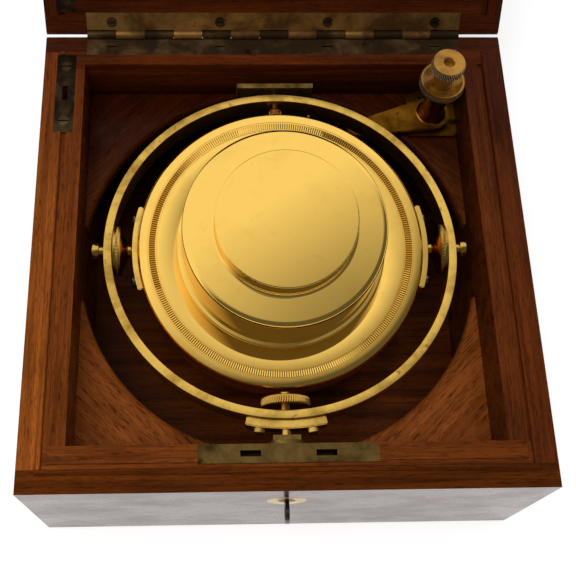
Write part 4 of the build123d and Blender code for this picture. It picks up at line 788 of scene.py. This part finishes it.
# Dust cap: two tiers with a flat top, turned from one piece, polished and lacquered. It stands
# on a thin foot and turns off the back plate.
cap = turned("dust_cap_turned", eased(
    [(0.0, 3.9, 0.0), (38.4, 3.9, 0.0), (38.4, 5.52, 0.0), (40.0, 5.52, 0.0), (40.0, 8.1, 0.4),
     (38.4, 8.1, 0.15), (37.3, 32.6, 2.2), (25.5, 32.6, 1.3), (25.5, 42.1, 0.5),
     (0.0, 42.1, 0.0)], 8), bowl_place, 256)
fit(cap, "cap", "bowl_brass", polished, "dust_cap")


# Bezel and glass: a turned brass ring with a flat glass, on the bowl's mouth.
bezel = turned("bezel_turned", eased(
    [(47.5, -15.0, 0.0), (47.5, -15.8, 0.8), (48.3, -16.6, 0.0), (52.8, -16.6, 0.2),
     (53.6, -15.8, 0.2), (53.6, -13.02, 0.0), (53.25, -13.02, 0.0), (53.25, -11.2, 0.0),
     (51.5, -11.2, 0.0), (51.5, -13.0, 0.0), (48.65, -13.0, 0.0), (48.65, -15.0, 0.0)], 3),
    bowl_place, 200)
fit(bezel, "bowl", "bowl_brass", polished, "bezel")
glass_material, tree = blank_material("clear glass")
glass_coat = node(tree, "ShaderNodeBsdfPrincipled", {
    "Base Color": (0.97, 0.99, 0.98, 1.0), "Roughness": 0.02, "IOR": 1.5,
    "Transmission Weight": 1.0})
node(tree, "ShaderNodeOutputMaterial", {"Surface": glass_coat.outputs[0]})
finish("glass", glass_material)


# Dial and hands: a silvered brass dial and blued steel hands, behind the glass.
finish("dial", brass("silvered dial", (0.78, 0.78, 0.75), (0.62, 0.62, 0.58), 0.35, 0.15, 0.5,
                     relief=0.15))
blued = brass("blued steel", (0.03, 0.05, 0.22), (0.02, 0.02, 0.09), 0.3, 0.1, 0.75)
for blued_piece in ("hour_hand", "minute_hand", "second_hand", "balance_spring"):
    finish(blued_piece, blued)


# Movement: gilt brass plates, pillars and wheels, and a steel chain. The plates are pillared
# together under the cap, and the wheels' arbors turn in them.
gilt = brass("gilt brass", (0.86, 0.62, 0.22), (0.60, 0.40, 0.12), 0.35, 0.1, 0.68, relief=0.15)
for part in ("pillar_plate", "plate_pillars", "top_plate", "barrel", "fusee", "centre_wheel",
             "third_wheel", "fourth_wheel", "escape_wheel", "balance_wheel", "balance_cock"):
    finish(part, gilt)
finish("fusee_chain", brass("chain steel", (0.32, 0.32, 0.33), (0.15, 0.14, 0.14), 0.4, 0.2, 0.6))
